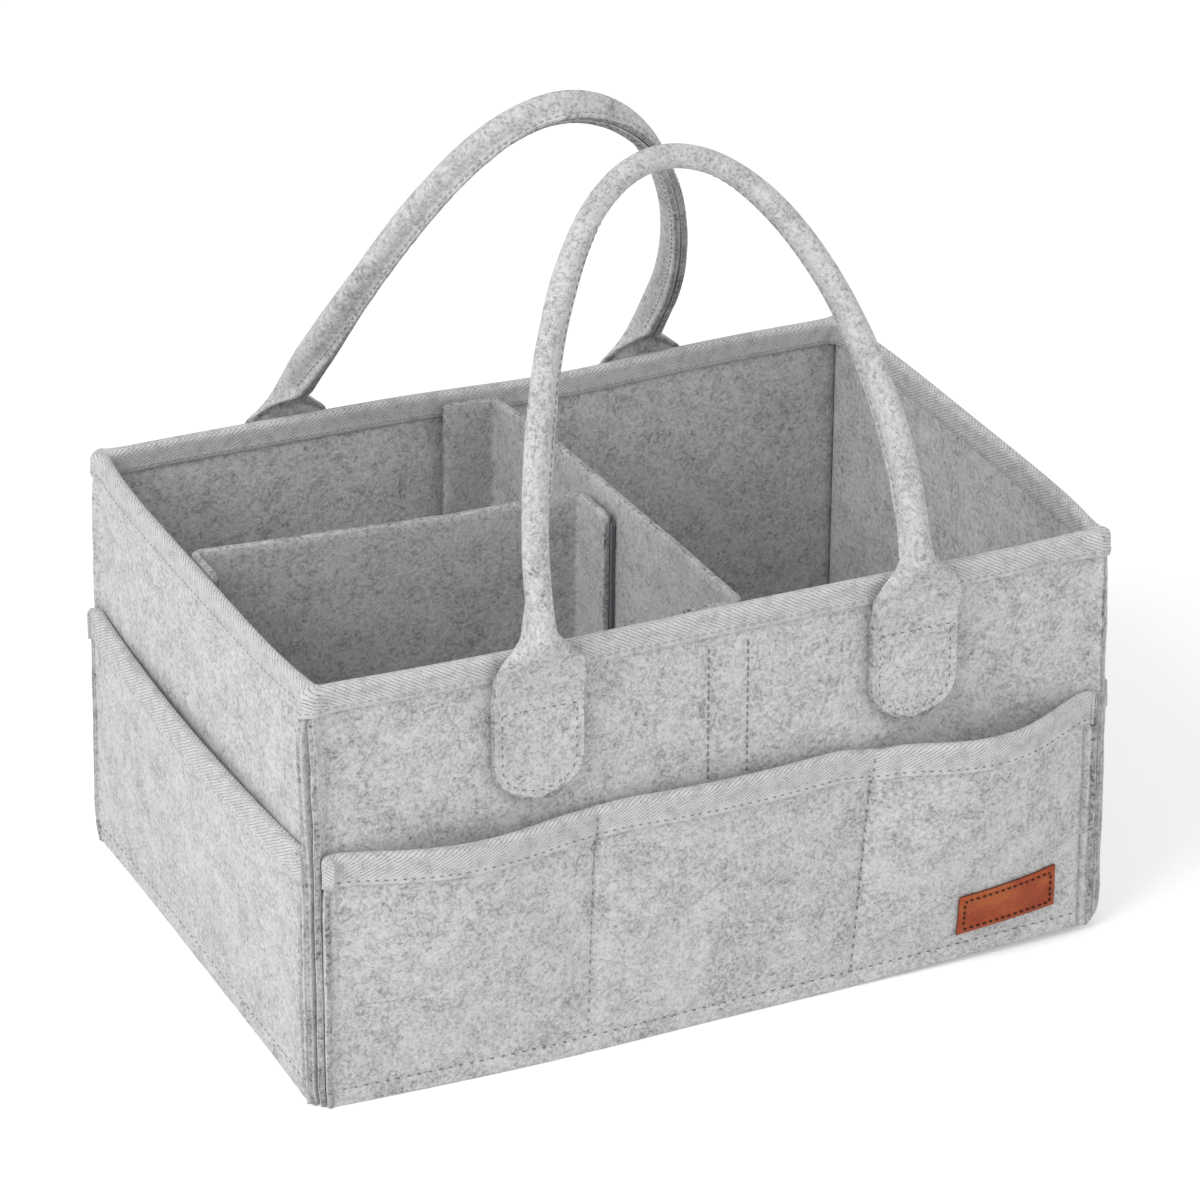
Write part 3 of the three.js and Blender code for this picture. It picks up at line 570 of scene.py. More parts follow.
def herringbone(name, slant, fold):
    """Cotton herringbone tape, dyed grey: matt, with flat ribs 2.5 mm apart between fine furrows drawn dark as
    painted shade.

    The ribs slant one way and mirror at the fold, and the selvedge beside the stitching is plain and lighter. They
    sway by 1.6 mm every 4 mm or so, and are worn in patches of 5 mm; the yarns are 0.7 mm."""
    material = blank(bpy.data.materials.new(name))
    place = add(material, "UVMap", uv_map="cloth")["UV"]
    parts = add(material, "SeparateXYZ", {0: place})
    from_fold = add(material, "Math", {0: parts[1], 1: fold}, operation="SUBTRACT")[0]
    across = add(material, "Math", {0: from_fold}, operation="ABSOLUTE")[0]
    sway = add(material, "TexNoise", {"Vector": place, "Scale": 1 / (3.846 * mm), "Detail": 2.0})["Fac"]
    along = add(material, "Math", {0: sway, 1: 1.6 * mm, 2: parts[0]}, operation="MULTIPLY_ADD")[0]
    leaned = add(material, "Math", {0: across, 1: slant, 2: along}, operation="MULTIPLY_ADD")[0]
    rib = add(material, "Math", {0: leaned, 1: 2 * math.pi / (2.5 * mm)}, operation="MULTIPLY")[0]
    wave = add(material, "Math", {0: rib}, operation="SINE")[0]
    inputs = {"Value": wave, "From Min": -1.0, "From Max": -0.1, "To Min": 0.0, "To Max": 1.0}
    furrow = add(material, "MapRange", inputs, interpolation_type="SMOOTHSTEP")[0]
    inputs = {"Value": across, "From Min": 10 * mm, "From Max": 11 * mm, "To Min": 0.0, "To Max": 0.7}
    selvedge = add(material, "MapRange", inputs)[0]
    plain = add(material, "Mix", {0: selvedge, 2: furrow, 3: 0.85}, data_type="FLOAT")[0]
    worn = add(material, "TexNoise", {"Vector": place, "Scale": 1 / (5.263 * mm), "Detail": 2.0})["Fac"]
    inputs = {"Value": worn, "From Min": 0.35, "From Max": 0.65, "To Min": 0.12, "To Max": 0.5}
    faint = add(material, "MapRange", inputs)[0]
    inputs = {"Vector": place, "Scale": 1 / (0.6667 * mm), "Detail": 2.0, "Roughness": 0.6}
    yarn = add(material, "TexNoise", inputs)["Fac"]
    weave = add(material, "Math", {0: plain, 1: faint, 2: yarn}, operation="MULTIPLY_ADD")[0]
    # The furrows are darkened in colour as well as sunk in the bump: painted shade in them.
    shades = [(0.36, "#7a7a7d"), (0.5, "#a6a6a8"), (0.72, "#c7c7c8"), (0.95, "#d4d4d5")]
    colour = add(material, "ValToRGB", {"Fac": weave}, shades)["Color"]
    bump = add(material, "Bump", {"Strength": 0.7, "Distance": 0.3 * mm, "Height": weave})[0]
    inputs = {"Base Color": colour, "Roughness": 0.85, "IOR": 1.5, "Specular IOR Level": 0.25, "Normal": bump}
    inputs |= {"Sheen Weight": 0.15, "Sheen Roughness": 0.5}
    add(material, "OutputMaterial", {"Surface": add(material, "BsdfPrincipled", inputs)[0]})
    return material


pocket_tape = herringbone("herringbone_cotton_tape_rising", 1.75, 14 * mm)
tape_off = layer_gap + binding / 2
stand = felt / 2 + tape_off
band = 12 * mm
band_share = 1 - band / (pocket_top - bottom_seam)
tape_steps = [0.0, 0.04, 0.12, 0.2, 0.35, 0.5, 0.7, 0.85]
bindings = {}


def tape_row(side, step, offset):
    """A level of a pocket's tape, some way up its band and out from the middle of the felt under it."""
    return pocket_row(side, band_share + (1 - band_share) * step, offset=offset, extra=0.3 * mm)


def tape_tab(side, end):
    """The tape's end folded round the raw edge of the pocket in the corner seam."""
    levels = [(step, stand, 0.0) for step in (0.0, 0.3, 0.6, 0.85)]
    for angle in np.radians([12, 40, 62, 80]):
        levels.append((1.0, stand * math.cos(angle), 1.6 * mm * math.sin(angle) - 0.9 * mm))
    tip = np.array([-1.0 if end == 0 else 1.0, 1.0, 0.0]) * (0.5 * mm / root)
    turns = np.linspace(0, math.pi, 9)[:, None]
    rows = []
    for step, offset, lift in levels:
        outer, inner = (np.array(tape_row(side, step, way * offset))[:, end] for way in (1, -1))
        line = (outer + inner) / 2 + (outer - inner) / 2 * np.cos(turns) + tip * np.sin(turns) + [0, 0, lift]
        rows.append(on_side(side, *line.T))
    name = f"{side}_pocket_tape_{'first' if end == 0 else 'last'}_tab"
    tab = thick_sheet(name, settle(np.array(rows)), binding, [pocket_tape] * 2, ragged=0.03 * mm)
    return ride_on(tab, "basket")


for side in sides:
    rows = [tape_row(side, step, stand) for step in tape_steps]
    for angle in np.radians([12, 40, 65, 90, 115, 140, 168]):
        along, out, height = tape_row(side, 1.0, stand * math.cos(angle))
        rows.append((along, out, height - 0.9 * mm + 1.6 * mm * math.sin(angle)))
    rows += [tape_row(side, step, -stand) for step in tape_steps[::-1]]
    middle = settle(np.array([on_side(side, *row) for row in rows]))
    piece = thick_sheet(f"{side}_pocket_tape", middle, binding, [pocket_tape] * 2, ragged=0.03 * mm)
    ride_on(piece, "basket", [f"{side}_pocket_binding"])
    # Only at the left front corner do the tape's folded ends stick out of the seam.
    tabs = [tape_tab(side, end) for end in {"front": [0], "left": [-1]}.get(side, [])]
    bindings[side] = piece

# Rim tape: one long herringbone tape folded over the top of all four walls, eased round the corner ridges.
# Its ribs fall to the right outside, the other way from the pocket tapes.
rim_tape = herringbone("herringbone_cotton_tape_falling", -1.75, 13.5 * mm)
rim_band = 11 * mm
rim_ease = 14 * mm


def rim_outline(offset):
    """The line of the tape round the outside of the walls: flat along each side and bowed out round each ridge."""
    tip_spread, tip_out = felt - 0.3 * mm + offset, worn_allowance - 0.8 * mm + offset
    face = felt + offset
    far, near, turn = (tip_out + tip_spread) / root, (tip_out - tip_spread) / root, face - root * tip_spread
    corner = np.array([half_length, half_depth])
    first = bend(corner + [-rim_ease, face], corner + [turn, face], corner + [near, far], 9)
    second = bend(corner + [far, near], corner + [face, turn], corner + [face, -rim_ease], 9)
    crown = (first[-1] + second[0]) / 2 + 0.9 * mm / root
    ridge = np.concatenate([first, [crown], second])
    turns = []
    for k, ways in enumerate([(1, -1), (1, 1), (-1, 1), (-1, -1)]):
        turns.append((ridge[::-1] if k % 2 else ridge) * ways)
    line = []
    for turn, following in zip(turns, turns[1:] + turns[:1]):
        start, finish = turn[-1], following[0]
        count = int(np.linalg.norm(finish - start) / (5 * mm))
        line += [turn, start + (finish - start) * (np.arange(1, count) / count)[:, None]]
    return np.concatenate(line)


rim_line = rim_outline(tape_off)
inner_round = 2.5 * mm
inner_box = np.array([half_length, half_depth]) - tape_off - inner_round
nearest = np.clip(rim_line, -inner_box, inner_box)
inner_line = nearest + unit(rim_line - nearest) * inner_round
rim_bottom = rim_top - rim_band
fold_top = rim_top - binding / 2
shoulder = rim_top - 2.3 * mm
band_heights = np.linspace(rim_bottom, shoulder, 7)
rows = [at_height(rim_line, height) for height in band_heights]
for share in (0.04, 0.14, 0.3, 0.5, 0.7, 0.86, 0.96):
    crown = math.sin(math.pi * share) ** 0.6
    rows.append(at_height(rim_line + (inner_line - rim_line) * share, shoulder + crown * (fold_top - shoulder)))
rows += [at_height(inner_line, height) for height in band_heights[::-1]]
rim = thick_sheet("rim_tape", settle(np.array(rows)), binding, [rim_tape] * 2, closed=True, ragged=0.03 * mm)
ride_on(rim, "basket", ["rim_binding_tape"])

# Rolled handles: one strip of felt each, 38 mm wide. Its ends are flat tongues, rounded and sewn outside the wall,
# and between them it is rolled round a cotton cord, with its two raw edges stitched together on the inner side.
joints = {joint["name"]: joint for joint in frame["joints"]}
hinge = {name: Vector(joints[f"{name}_handle_swing"]["pos_m"]) for name in ("front", "back")}
hinge_height = hinge["front"].z
hinge_out = abs(hinge["front"].y)
tongue_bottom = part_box("front_handle_left_tongue")[0].z + 3.5 * mm
handle_spread = 162 * mm
tongue_half = 18.9 * mm
tongue_inset = 3.8 * mm
free_from = rim_top - 24 * mm
roll_radius = 3.2 * mm
tongue_round = 16 * mm
handle_shift = {"front": 1 * mm, "back": 4 * mm}
handle_rise = {"front": 168 * mm, "back": 171 * mm}
# In degrees: how far a handle leans into the box at its feet and at its top, and how far its arch is turned. Then
# the share of its spread that the arch draws in by towards the top.
feet_lean = {"front": 15.5, "back": 45}
top_lean = {"front": 32, "back": 18}
arch_turn = {"front": 1.5, "back": 2.5}
arch_draw = {"front": 0.03, "back": 0.0}
# Where along its arch a handle's raw edges lie, in degrees from facing into the box towards the arch's inside.
lip_turns = {
    "front": ((0, 0.12, 0.32, 0.44, 0.6, 0.88, 1), (0, 60, 58, 28, 20, 12, 0)),
    "back": ((0, 0.3, 0.45, 0.6, 0.88, 1), (0, 5, 45, 60, 55, 0)),
}
# Where the tongues draw in: from below the rim to above it. The back handle's stay open for longer.
drawn_in = {"front": (-9 * mm, 8 * mm), "back": (-7 * mm, 10 * mm)}


def roll_section():
    """The middle line of the rolled strip, as into the box and across: a round back and two lips side by side."""
    arc = [(roll_radius * math.cos(a), roll_radius * math.sin(a)) for a in np.radians(np.linspace(180, 75, 21))]
    bends = [np.array(p) * mm for p in ((0.83, 3.09), (2.6, 2.7), (3.4, 1.62), (5.0, 1.62))]
    shares = np.linspace(0, 1, 9)[1:, None]
    weights = [(1 - shares) ** 3, 3 * shares * (1 - shares) ** 2, 3 * shares**2 * (1 - shares), shares**3]
    neck = sum(weight * bend for weight, bend in zip(weights, bends))
    lip = [(x * mm, 1.62 * mm) for x in (5.8, 6.6, 7.3, 8.0)]
    half = np.concatenate([arc, neck, lip])
    length = travelled(half)
    shares = np.linspace(0, 1, 20) * length[-1]
    half = np.stack([np.interp(shares, length, half[:, k]) for k in range(2)], axis=1)
    return np.concatenate([half[:0:-1] * [1, -1], half])


rolled = roll_section()
width_shares = np.linspace(-1, 1, len(rolled))


def strip_section(half_width, curl, roll, over):
    """The strip's middle line where it is part way from a flat tongue to a roll, and how far it stands off."""
    angle = math.pi * (width_shares + 1) / 2
    across = -half_width * np.cos(angle)
    flared = 0.9 * mm * (1 - curl) * np.abs(np.cos(angle)) ** 6
    into = 4.9 * mm - over - 8.5 * mm * curl * np.sin(angle) - flared
    curled = np.stack([into, across], axis=1)
    return curled + (rolled - curled) * roll


def arch_spot(name, share):
    """A point on a handle's middle line, from hinge to hinge, as along, out and up on its own side."""
    lean = math.radians(feet_lean[name])
    change = math.radians(top_lean[name]) - lean
    angle = math.pi * share
    up = math.sin(angle)
    across = -(handle_spread / 2) * math.cos(angle) * (1 - arch_draw[name] * up)
    inwards = handle_rise[name] * (math.cos(lean) - math.cos(lean + change * up)) / change
    rise = handle_rise[name] * (math.sin(lean + change * up) - math.sin(lean)) / change
    turn = math.sin(math.radians(arch_turn[name])) * up * across
    return handle_shift[name] + across, hinge_out - inwards - turn, hinge_height + rise


def handle_line(name):
    """Stations along a handle from one tongue's end to the other's: the middle line and the form of the section."""
    spots, forms = [], []
    for angle in np.radians([9, 20, 32, 45, 58, 72, 90]):
        height = tongue_bottom + tongue_round * (1 - math.cos(angle))
        spots.append((-handle_spread / 2 + handle_shift[name], hinge_out, height))
        forms.append(tongue_half * math.sin(angle))
    sewn = np.linspace(tongue_bottom + tongue_round, free_from, 9)[1:]
    for height in [*sewn, *np.arange(free_from + 1.6 * mm, hinge_height - 6 * mm, 1.6 * mm)]:
        spots.append((-handle_spread / 2 + handle_shift[name], hinge_out, height))
        forms.append(tongue_half)
    shares = [*np.linspace(0.006, 0.05, 6), *np.linspace(0.06, 0.94, 118), *np.linspace(0.95, 0.994, 6)]
    arch = [arch_spot(name, share) for share in shares]
    other = [(x + handle_spread, y, z) for x, y, z in spots[::-1]]
    line = np.array(spots + arch + other)
    calm = (line[:, 2] > hinge_height - 14 * mm) & (line[:, 2] < hinge_height + 22 * mm)
    for _ in range(30):
        smooth = line.copy()
        smooth[1:-1] = (line[:-2] + 2 * line[1:-1] + line[2:]) / 4
        line[calm] = smooth[calm]
    half_widths = np.array(forms + [tongue_half] * len(arch) + forms[::-1])
    arch_shares = np.concatenate([np.zeros(len(spots)), shares, np.ones(len(spots))])
    return line, half_widths, arch_shares


def flex(piece):
    """Moves a piece's placement into its mesh points."""
    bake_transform(piece)


def beside_handle(name, local):
    """Places given along a handle's own side, out from the middle of the box, and up."""
    return settle(on_side(name, local[..., 0], local[..., 1] - sides[name][2], local[..., 2]))


handles = {}
handle_frames = {}
for name in ("front", "back"):
    turned, half_widths, arch_shares = handle_line(name)
    path_length = travelled(turned)
    from_end = np.minimum(path_length, path_length[-1] - path_length)
    free_at = free_from - tongue_bottom
    above_rim = from_end - (rim_top - tongue_bottom)
    curl = eased(above_rim, *drawn_in[name])
    neck = drawn_in[name][1]
    roll = eased(above_rim, neck - 7 * mm, neck + 13 * mm)
    widths = half_widths + (6.5 * mm - half_widths) * curl - 0.3 * mm * hump(above_rim, neck, 2.5 * mm)
    # The tongues lie over the rim tape, and the roll is a little stouter near them.
    over = 1.9 * mm * eased(above_rim, -19 * mm, -12 * mm) * (1 - roll)
    stout = 1 + 0.2 * roll * (1 - eased(above_rim, 25 * mm, 110 * mm))
    tangent = unit(np.gradient(turned, axis=0))
    into_box = np.array([0.0, -1.0, 0.0])
    inward = unit(into_box - tangent * (tangent @ into_box)[:, None])
    across = np.cross(inward, tangent)
    turn = np.interp(arch_shares, *lip_turns[name])
    turn = np.radians(np.convolve(np.pad(turn, 6, mode="edge"), np.ones(13) / 13, mode="valid"))[:, None]
    inward, across = (
        inward * np.cos(turn) - across * np.sin(turn),
        across * np.cos(turn) + inward * np.sin(turn),
    )
    rows, presses = [], []
    for k in range(len(turned)):
        section = strip_section(widths[k], curl[k], roll[k], over[k]) * stout[k]
        rows.append(turned[k] + inward[k] * section[:, :1] + across[k] * section[:, 1:])
        from_middle = np.abs(section[:, 1])
        edge_line = np.abs(from_middle - max(half_widths[k] - tongue_inset, 0.0))
        groove = 0.8 * mm * hump(edge_line, 0, 1.1 * mm) * (tongue_inset < from_end[k] < free_at)
        top_line = 0.6 * mm * hump(from_end[k], free_at, mm) * (from_middle < tongue_half - tongue_inset)
        presses.append(np.maximum(groove, top_line * (edge_line > 0)))
    middle = beside_handle(name, np.array(rows))
    wave = ruffle(middle, 0.35 * mm, 22 * mm, 6.0)[..., None]
    middle = middle + wave * unit(np.cross(np.gradient(middle, axis=1), np.gradient(middle, axis=0)))
    presses = np.array(presses)
    piece = thick_sheet(
        f"{name}_handle_felt", middle, felt, felt_and_painted_shade_edge, pressed=presses, ragged=0.22 * mm, edge_columns=1
    )
    flex(piece)
    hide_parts(f"{name}_handle_tube", f"{name}_handle_left_tongue", f"{name}_handle_right_tongue")
    handles[name] = piece
    handle_frames[name] = (turned, inward, across, from_end)

# Handle cord: three-strand twisted cotton, 3 mm, undyed. It fills the roll, and only its cut ends can be glimpsed
# where the felt opens out towards the tongues.
cord_cotton = blank(bpy.data.materials.new("twisted_cotton_cord"))
place = add(cord_cotton, "Attribute", attribute_name="fibre_place")["Vector"]
yarns = add(cord_cotton, "TexNoise", {"Vector": place, "Scale": 1 / (1.111 * mm), "Detail": 3.0})["Fac"]
undyed = add(cord_cotton, "ValToRGB", {"Fac": yarns}, [(0.3, "#cfc9ba"), (0.7, "#e9e5da")])["Color"]
bump = add(cord_cotton, "Bump", {"Strength": 0.6, "Distance": 0.3 * mm, "Height": yarns})[0]
inputs = {"Base Color": undyed, "Roughness": 0.9, "IOR": 1.5, "Specular IOR Level": 0.2, "Normal": bump}
add(cord_cotton, "OutputMaterial", {"Surface": add(cord_cotton, "BsdfPrincipled", inputs)[0]})
strand_radius = 0.76 * mm
strand_turn = 11 * mm


def tube_faces(start, rings, corners):
    """The faces of a closed tube of rings, whose points are numbered from start."""
    faces = []
    for k in range(rings - 1):
        here, there = start + k * corners, start + (k + 1) * corners
        for corner in range(corners):
            right = (corner + 1) % corners
            faces.append([here + corner, here + right, there + right, there + corner])
    last = start + (rings - 1) * corners
    return faces + [[start + k for k in range(corners)][::-1], [last + k for k in range(corners)]]


for name in handles:
    *lines_along, from_end = handle_frames[name]
    kept = from_end > rim_top + 3 * mm - tongue_bottom
    length = travelled(lines_along[0][kept])
    fine = np.linspace(0, length[-1], int(length[-1] / (2.2 * mm)))
    centre, into, over = (
        np.stack([np.interp(fine, length, line[kept][:, k]) for k in range(3)], axis=1) for line in lines_along
    )
    points, faces = [], []
    for strand in range(3):
        angle = (2 * math.pi * fine / strand_turn + 2 * math.pi * strand / 3)[:, None]
        heart = centre + 0.82 * mm * (into * np.cos(angle) + over * np.sin(angle))
        turns = [2 * math.pi * corner / 8 for corner in range(8)]
        round_heart = [heart + strand_radius * (into * math.cos(a) + over * math.sin(a)) for a in turns]
        points.append(np.stack(round_heart, axis=1).reshape(-1, 3))
        faces += tube_faces(strand * len(points[0]), len(fine), 8)
    cord = mesh_piece(f"{name}_handle_cord", beside_handle(name, np.concatenate(points)), faces, [cord_cotton])
    flex(cord)
    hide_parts(f"{name}_handle_core")

# Dividers: two loose panels of the same felt with raw edges, drawn in a darker copy of it as painted shade inside
# the box. Their ends are folded back as flaps that carry hook strips; the cross divider spans front to back, and the
# lengthwise one runs from it to the left end.
painted_shade_divider_shades = [(0.44, "#79797c"), (0.52, "#9a9a9c"), (0.60, "#b7b7b9"), (0.70, "#c8c8ca")]
# A darker copy of the grey felt: painted shade.
painted_shade_divider_felt = heather_felt("heather_grey_divider_felt", painted_shade_divider_shades, "#5f5f62")
flap_width = 24 * mm
fold_radius = 4 * mm
strip_stack = 3.3 * mm
flap_reach = strip_stack + felt / 2
cross_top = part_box("cross_divider")[1].z
long_top = rim_top - 9 * mm
long_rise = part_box("lengthwise_divider")[1].z - long_top
cross_back = np.array([4 * mm, half_depth - flap_reach])
cross_front = np.array([12 * mm, -(half_depth - flap_reach)])
cross_run = unit(cross_front - cross_back)
cross_left = np.array([cross_run[1], -cross_run[0]])
long_place = 18 * mm


def folded_line(corners, step=5 * mm):
    """A line through corners with soft folds, in short steps."""
    line = [corners[0]]
    for before, corner, after in zip(corners, corners[1:], corners[2:]):
        start, finish = corner + unit(before - corner) * fold_radius, corner + unit(after - corner) * fold_radius
        line += list(bend(start, corner, finish, 8))
    line.append(corners[-1])
    dense = [line[0]]
    for here, there in zip(line, line[1:]):
        count = max(1, int(np.linalg.norm(there - here) / step))
        dense += [here + (there - here) * k / count for k in range(1, count + 1)]
    return np.array(dense)


def divider_panel(name, corners, top_of, body, node, seed):
    """A divider from its flaps' ends and folds, standing on the base up to its own top edge."""
    line = folded_line(corners)
    tops = np.array([top_of(spot) for spot in line])
    bottom = floor_top + layer_gap
    shares = np.array([0, 0.01, 0.04, *np.linspace(0.1, 0.94, 14), 0.975, 1])
    uneven = np.array([noise.noise(Vector((spot[0] / (35 * mm), spot[1] / (35 * mm), seed))) for spot in line])
    rise = tops - bottom + 0.5 * mm * uneven
    middle = np.array([at_height(line, bottom + rise * share) for share in shares])
    run = unit(np.gradient(line, axis=0))
    sideways = np.column_stack([run[:, 1], -run[:, 0], np.zeros(len(run))])
    free = np.clip(from_ends(len(line)) / 14 - 0.6, 0, 1)
    bow = ruffle(middle, 1.6 * mm, 70 * mm, seed) * free * (0.35 + 0.65 * shares[:, None])
    middle = settle(middle + sideways[None] * bow[..., None], hangs=True)
    piece = thick_sheet(name, middle, felt, [painted_shade_divider_felt, painted_shade_cut_felt], ragged=0.25 * mm)
    ride_on(piece, body, [node])


long_left = np.array([-(half_length - flap_reach), long_place])
meeting = cross_back + cross_run * ((cross_back[1] - long_place) / -cross_run[1])
long_right = meeting + cross_left * (felt / 2 + flap_reach)
cross_corners = [cross_back - [flap_width, 0], cross_back, cross_front, cross_front - [flap_width, 0]]
long_corners = [long_left - [0, flap_width], long_left, long_right, long_right + cross_run * flap_width]


def cross_divider_top(spot):
    """The cross divider is cut level."""
    return cross_top


def long_divider_top(spot):
    """The lengthwise divider stands higher at the box's end, where its flap is held up by the strips."""
    share = np.clip((long_right[0] - spot[0]) / (long_right[0] - long_left[0]), 0, 1)
    return long_top + long_rise * share * share


for node, corners, top_of, body, seed in (
    ("cross_divider", cross_corners, cross_divider_top, "cross_panel", 1.5),
    ("lengthwise_divider", long_corners, long_divider_top, "lengthwise_panel", 5.2),
):
    divider_panel(f"{node}_felt", corners, top_of, body, node, seed)

# Touch-fastener strips: 20 mm woven nylon tape, loops on the walls and on the cross divider, hooks on the flaps.
# The loop side is a soft tangle; the hook side shows a fine square grid of stiff hooks.


def touch_fastener(name, shades, grid):
    """Grey woven nylon touch-fastener tape: a slight plastic gleam, and hooks 1.2 mm apart or a tangled pile."""
    material = blank(bpy.data.materials.new(name))
    place = add(material, "UVMap", uv_map="cloth")["UV"]
    inputs = {"Vector": place, "Scale": 1 / (0.769 * mm), "Detail": 4.0, "Roughness": 0.75, "Distortion": 1.5}
    height = add(material, "TexNoise", inputs)["Fac"]
    if grid:
        inputs = {"Vector": place, "Scale": 1 / (1.2 * mm), "Randomness": 0.15}
        hooks = add(material, "TexVoronoi", inputs)["Distance"]
        height = add(material, "Math", {0: 0.9, 1: hooks}, operation="SUBTRACT")[0]
    # The colour follows the bump's height, so the hollows between hooks and loops are darker: painted shade.
    colour = add(material, "ValToRGB", {"Fac": height}, shades)["Color"]
    bump = add(material, "Bump", {"Strength": 0.9, "Distance": 0.5 * mm, "Height": height})[0]
    inputs = {"Base Color": colour, "Roughness": 0.6, "IOR": 1.53, "Specular IOR Level": 0.4, "Normal": bump}
    add(material, "OutputMaterial", {"Surface": add(material, "BsdfPrincipled", inputs)[0]})
    return material


loop_tape = touch_fastener("nylon_loop_tape", [(0.35, "#7f8083"), (0.65, "#a8a9ac")], False)
hook_tape = touch_fastener("nylon_hook_tape", [(0.3, "#6f7074"), (0.8, "#9c9da1")], True)
strip_bottom, strip_top = 40 * mm, rim_top - 14 * mm
strip = 1.2 * mm
strip_half = 10 * mm
end_setback = 13 * mm
flap_setback = flap_width - strip_half
cross_face = meeting + cross_left * (felt / 2)
across_flap = cross_face + cross_run * flap_setback
for node, body, face, way, layer in (
    ("front_wall_loop", "basket", (4 * mm, -half_depth), (0, 1), 0),
    ("back_wall_loop", "basket", (-4 * mm, half_depth), (0, -1), 0),
    ("left_end_loop", "basket", (-half_length, long_place - end_setback), (1, 0), 0),
    ("cross_divider_loop", "cross_panel", cross_face + cross_run * end_setback, cross_left, 0),
    ("cross_divider_front_hook", "cross_panel", (cross_front[0] - flap_setback, -half_depth), (0, 1), 1),
    ("cross_divider_back_hook", "cross_panel", (cross_back[0] - flap_setback, half_depth), (0, -1), 1),
    ("lengthwise_divider_left_hook", "lengthwise_panel", (-half_length, long_left[1] - flap_setback), (1, 0), 1),
    ("lengthwise_divider_right_hook", "lengthwise_panel", across_flap, cross_left, 1),
):
    way = np.array(way, float)
    along = np.array([-way[1], way[0]])
    off = layer_gap + strip / 2 + layer * (strip + layer_gap)
    line = np.array(face, float) + way * off + along * np.linspace(-strip_half, strip_half, 7)[:, None]
    rows = [at_height(line, height) for height in np.linspace(strip_bottom, strip_top, 20)]
    tape, finish = (hook_tape, "hook_strip") if layer else (loop_tape, "loop_strip")
    middle = settle(np.array(rows), hangs=body != "basket")
    piece = thick_sheet(f"{node}_strip_tape", middle, strip, [tape] * 2, ragged=0.05 * mm)
    ride_on(piece, body, [f"{node}_strip"])

# Leather label: a blank vegetable-tanned patch, 45 by 19 mm, cut with square corners and sewn on low down at the
# right of the front. The grain side is waxed and pulled up lighter, and the cut edges are burnished dark.
label_width, label_height, label_thickness = 45.5 * mm, 19.5 * mm, 1.6 * mm
label_middle = (0.369 * 342 * mm, 26 * mm)
label_turn = math.radians(3.8)


def label_spot(along, height):
    """A place on the label, which was sewn on a few degrees askew, as seen from the front."""
    return (
        label_middle[0] + along * math.cos(label_turn) - height * math.sin(label_turn),
        label_middle[1] + along * math.sin(label_turn) + height * math.cos(label_turn),
    )


def tree_of(piece):
    """A search tree of a piece's faces."""
    mesh = piece.data
    return BVHTree.FromPolygons([v.co for v in mesh.vertices], [tuple(p.vertices) for p in mesh.polygons])


def leather(name, shades, roughness):
    """Vegetable-tanned cow leather, waxed on its grain side: saddle brown, cloudy, with pores 0.8 mm apart."""
    material = blank(bpy.data.materials.new(name))
    place = add(material, "Attribute", attribute_name="fibre_place")["Vector"]
    inputs = {"Vector": place, "Scale": 1 / (18.2 * mm), "Detail": 3.0, "Roughness": 0.55}
    cloud = add(material, "TexNoise", inputs)["Fac"]
    pores = add(material, "TexVoronoi", {"Vector": place, "Scale": 1 / (0.8 * mm)})["Distance"]
    grain = add(material, "TexNoise", {"Vector": place, "Scale": 1 / (1.429 * mm), "Detail": 3.0})["Fac"]
    mixed = add(material, "Math", {0: grain, 1: 0.25, 2: cloud}, operation="MULTIPLY_ADD")[0]
    colour = add(material, "ValToRGB", {"Fac": mixed}, shades)["Color"]
    bump = add(material, "Bump", {"Strength": 0.25, "Distance": 0.2 * mm, "Height": pores})[0]
    inputs = {"Value": cloud, "From Min": 0.3, "From Max": 0.7}
    inputs |= {"To Min": roughness - 0.08, "To Max": roughness + 0.1}
    rough = add(material, "MapRange", inputs)[0]
    inputs = {"Base Color": colour, "Roughness": rough, "IOR": 1.5, "Specular IOR Level": 0.4, "Normal": bump}
    add(material, "OutputMaterial", {"Surface": add(material, "BsdfPrincipled", inputs)[0]})
    return material


saddle_shades = [(0.42, "#8a330f"), (0.60, "#a04014"), (0.78, "#b25b2a")]
saddle_leather = leather("vegetable_tanned_leather", saddle_shades, 0.5)
burnished_edge = leather("burnished_leather_edge", [(0.4, "#3a1a0e"), (0.7, "#572916")], 0.4)
front_tree = tree_of(pocket_panels["front"])
label_rows = []
for height in np.linspace(-label_height / 2, label_height / 2, 9):
    row = []
    for along in np.linspace(-label_width / 2, label_width / 2, 21):
        x, z = label_spot(along, height)
        start = Vector((x, -half_depth - 60 * mm, z))
        spot, normal, _, _ = front_tree.ray_cast(start, Vector((0, 1, 0)))
        row.append(np.array(spot) + np.array(normal) * (0.15 * mm + label_thickness / 2))
    label_rows.append(row)
label_grid = np.array(label_rows)
for _ in range(2):
    label_grid[:, 1:-1] = (label_grid[:, :-2] + label_grid[:, 1:-1] + label_grid[:, 2:]) / 3
    label_grid[1:-1] = (label_grid[:-2] + label_grid[1:-1] + label_grid[2:]) / 3
leather_and_edge = [saddle_leather, burnished_edge]
label = thick_sheet("leather_label_patch", label_grid, label_thickness, leather_and_edge, ragged=0.02 * mm)
ride_on(label, "basket", ["leather_label"])

# Sewing thread: grey polyester, 0.5 mm, in lockstitches 3 to 4 mm apart that sink into the felt.
# It holds the bottom, the pockets, the tapes, the tongues and the strips; the label's thread is dark brown.


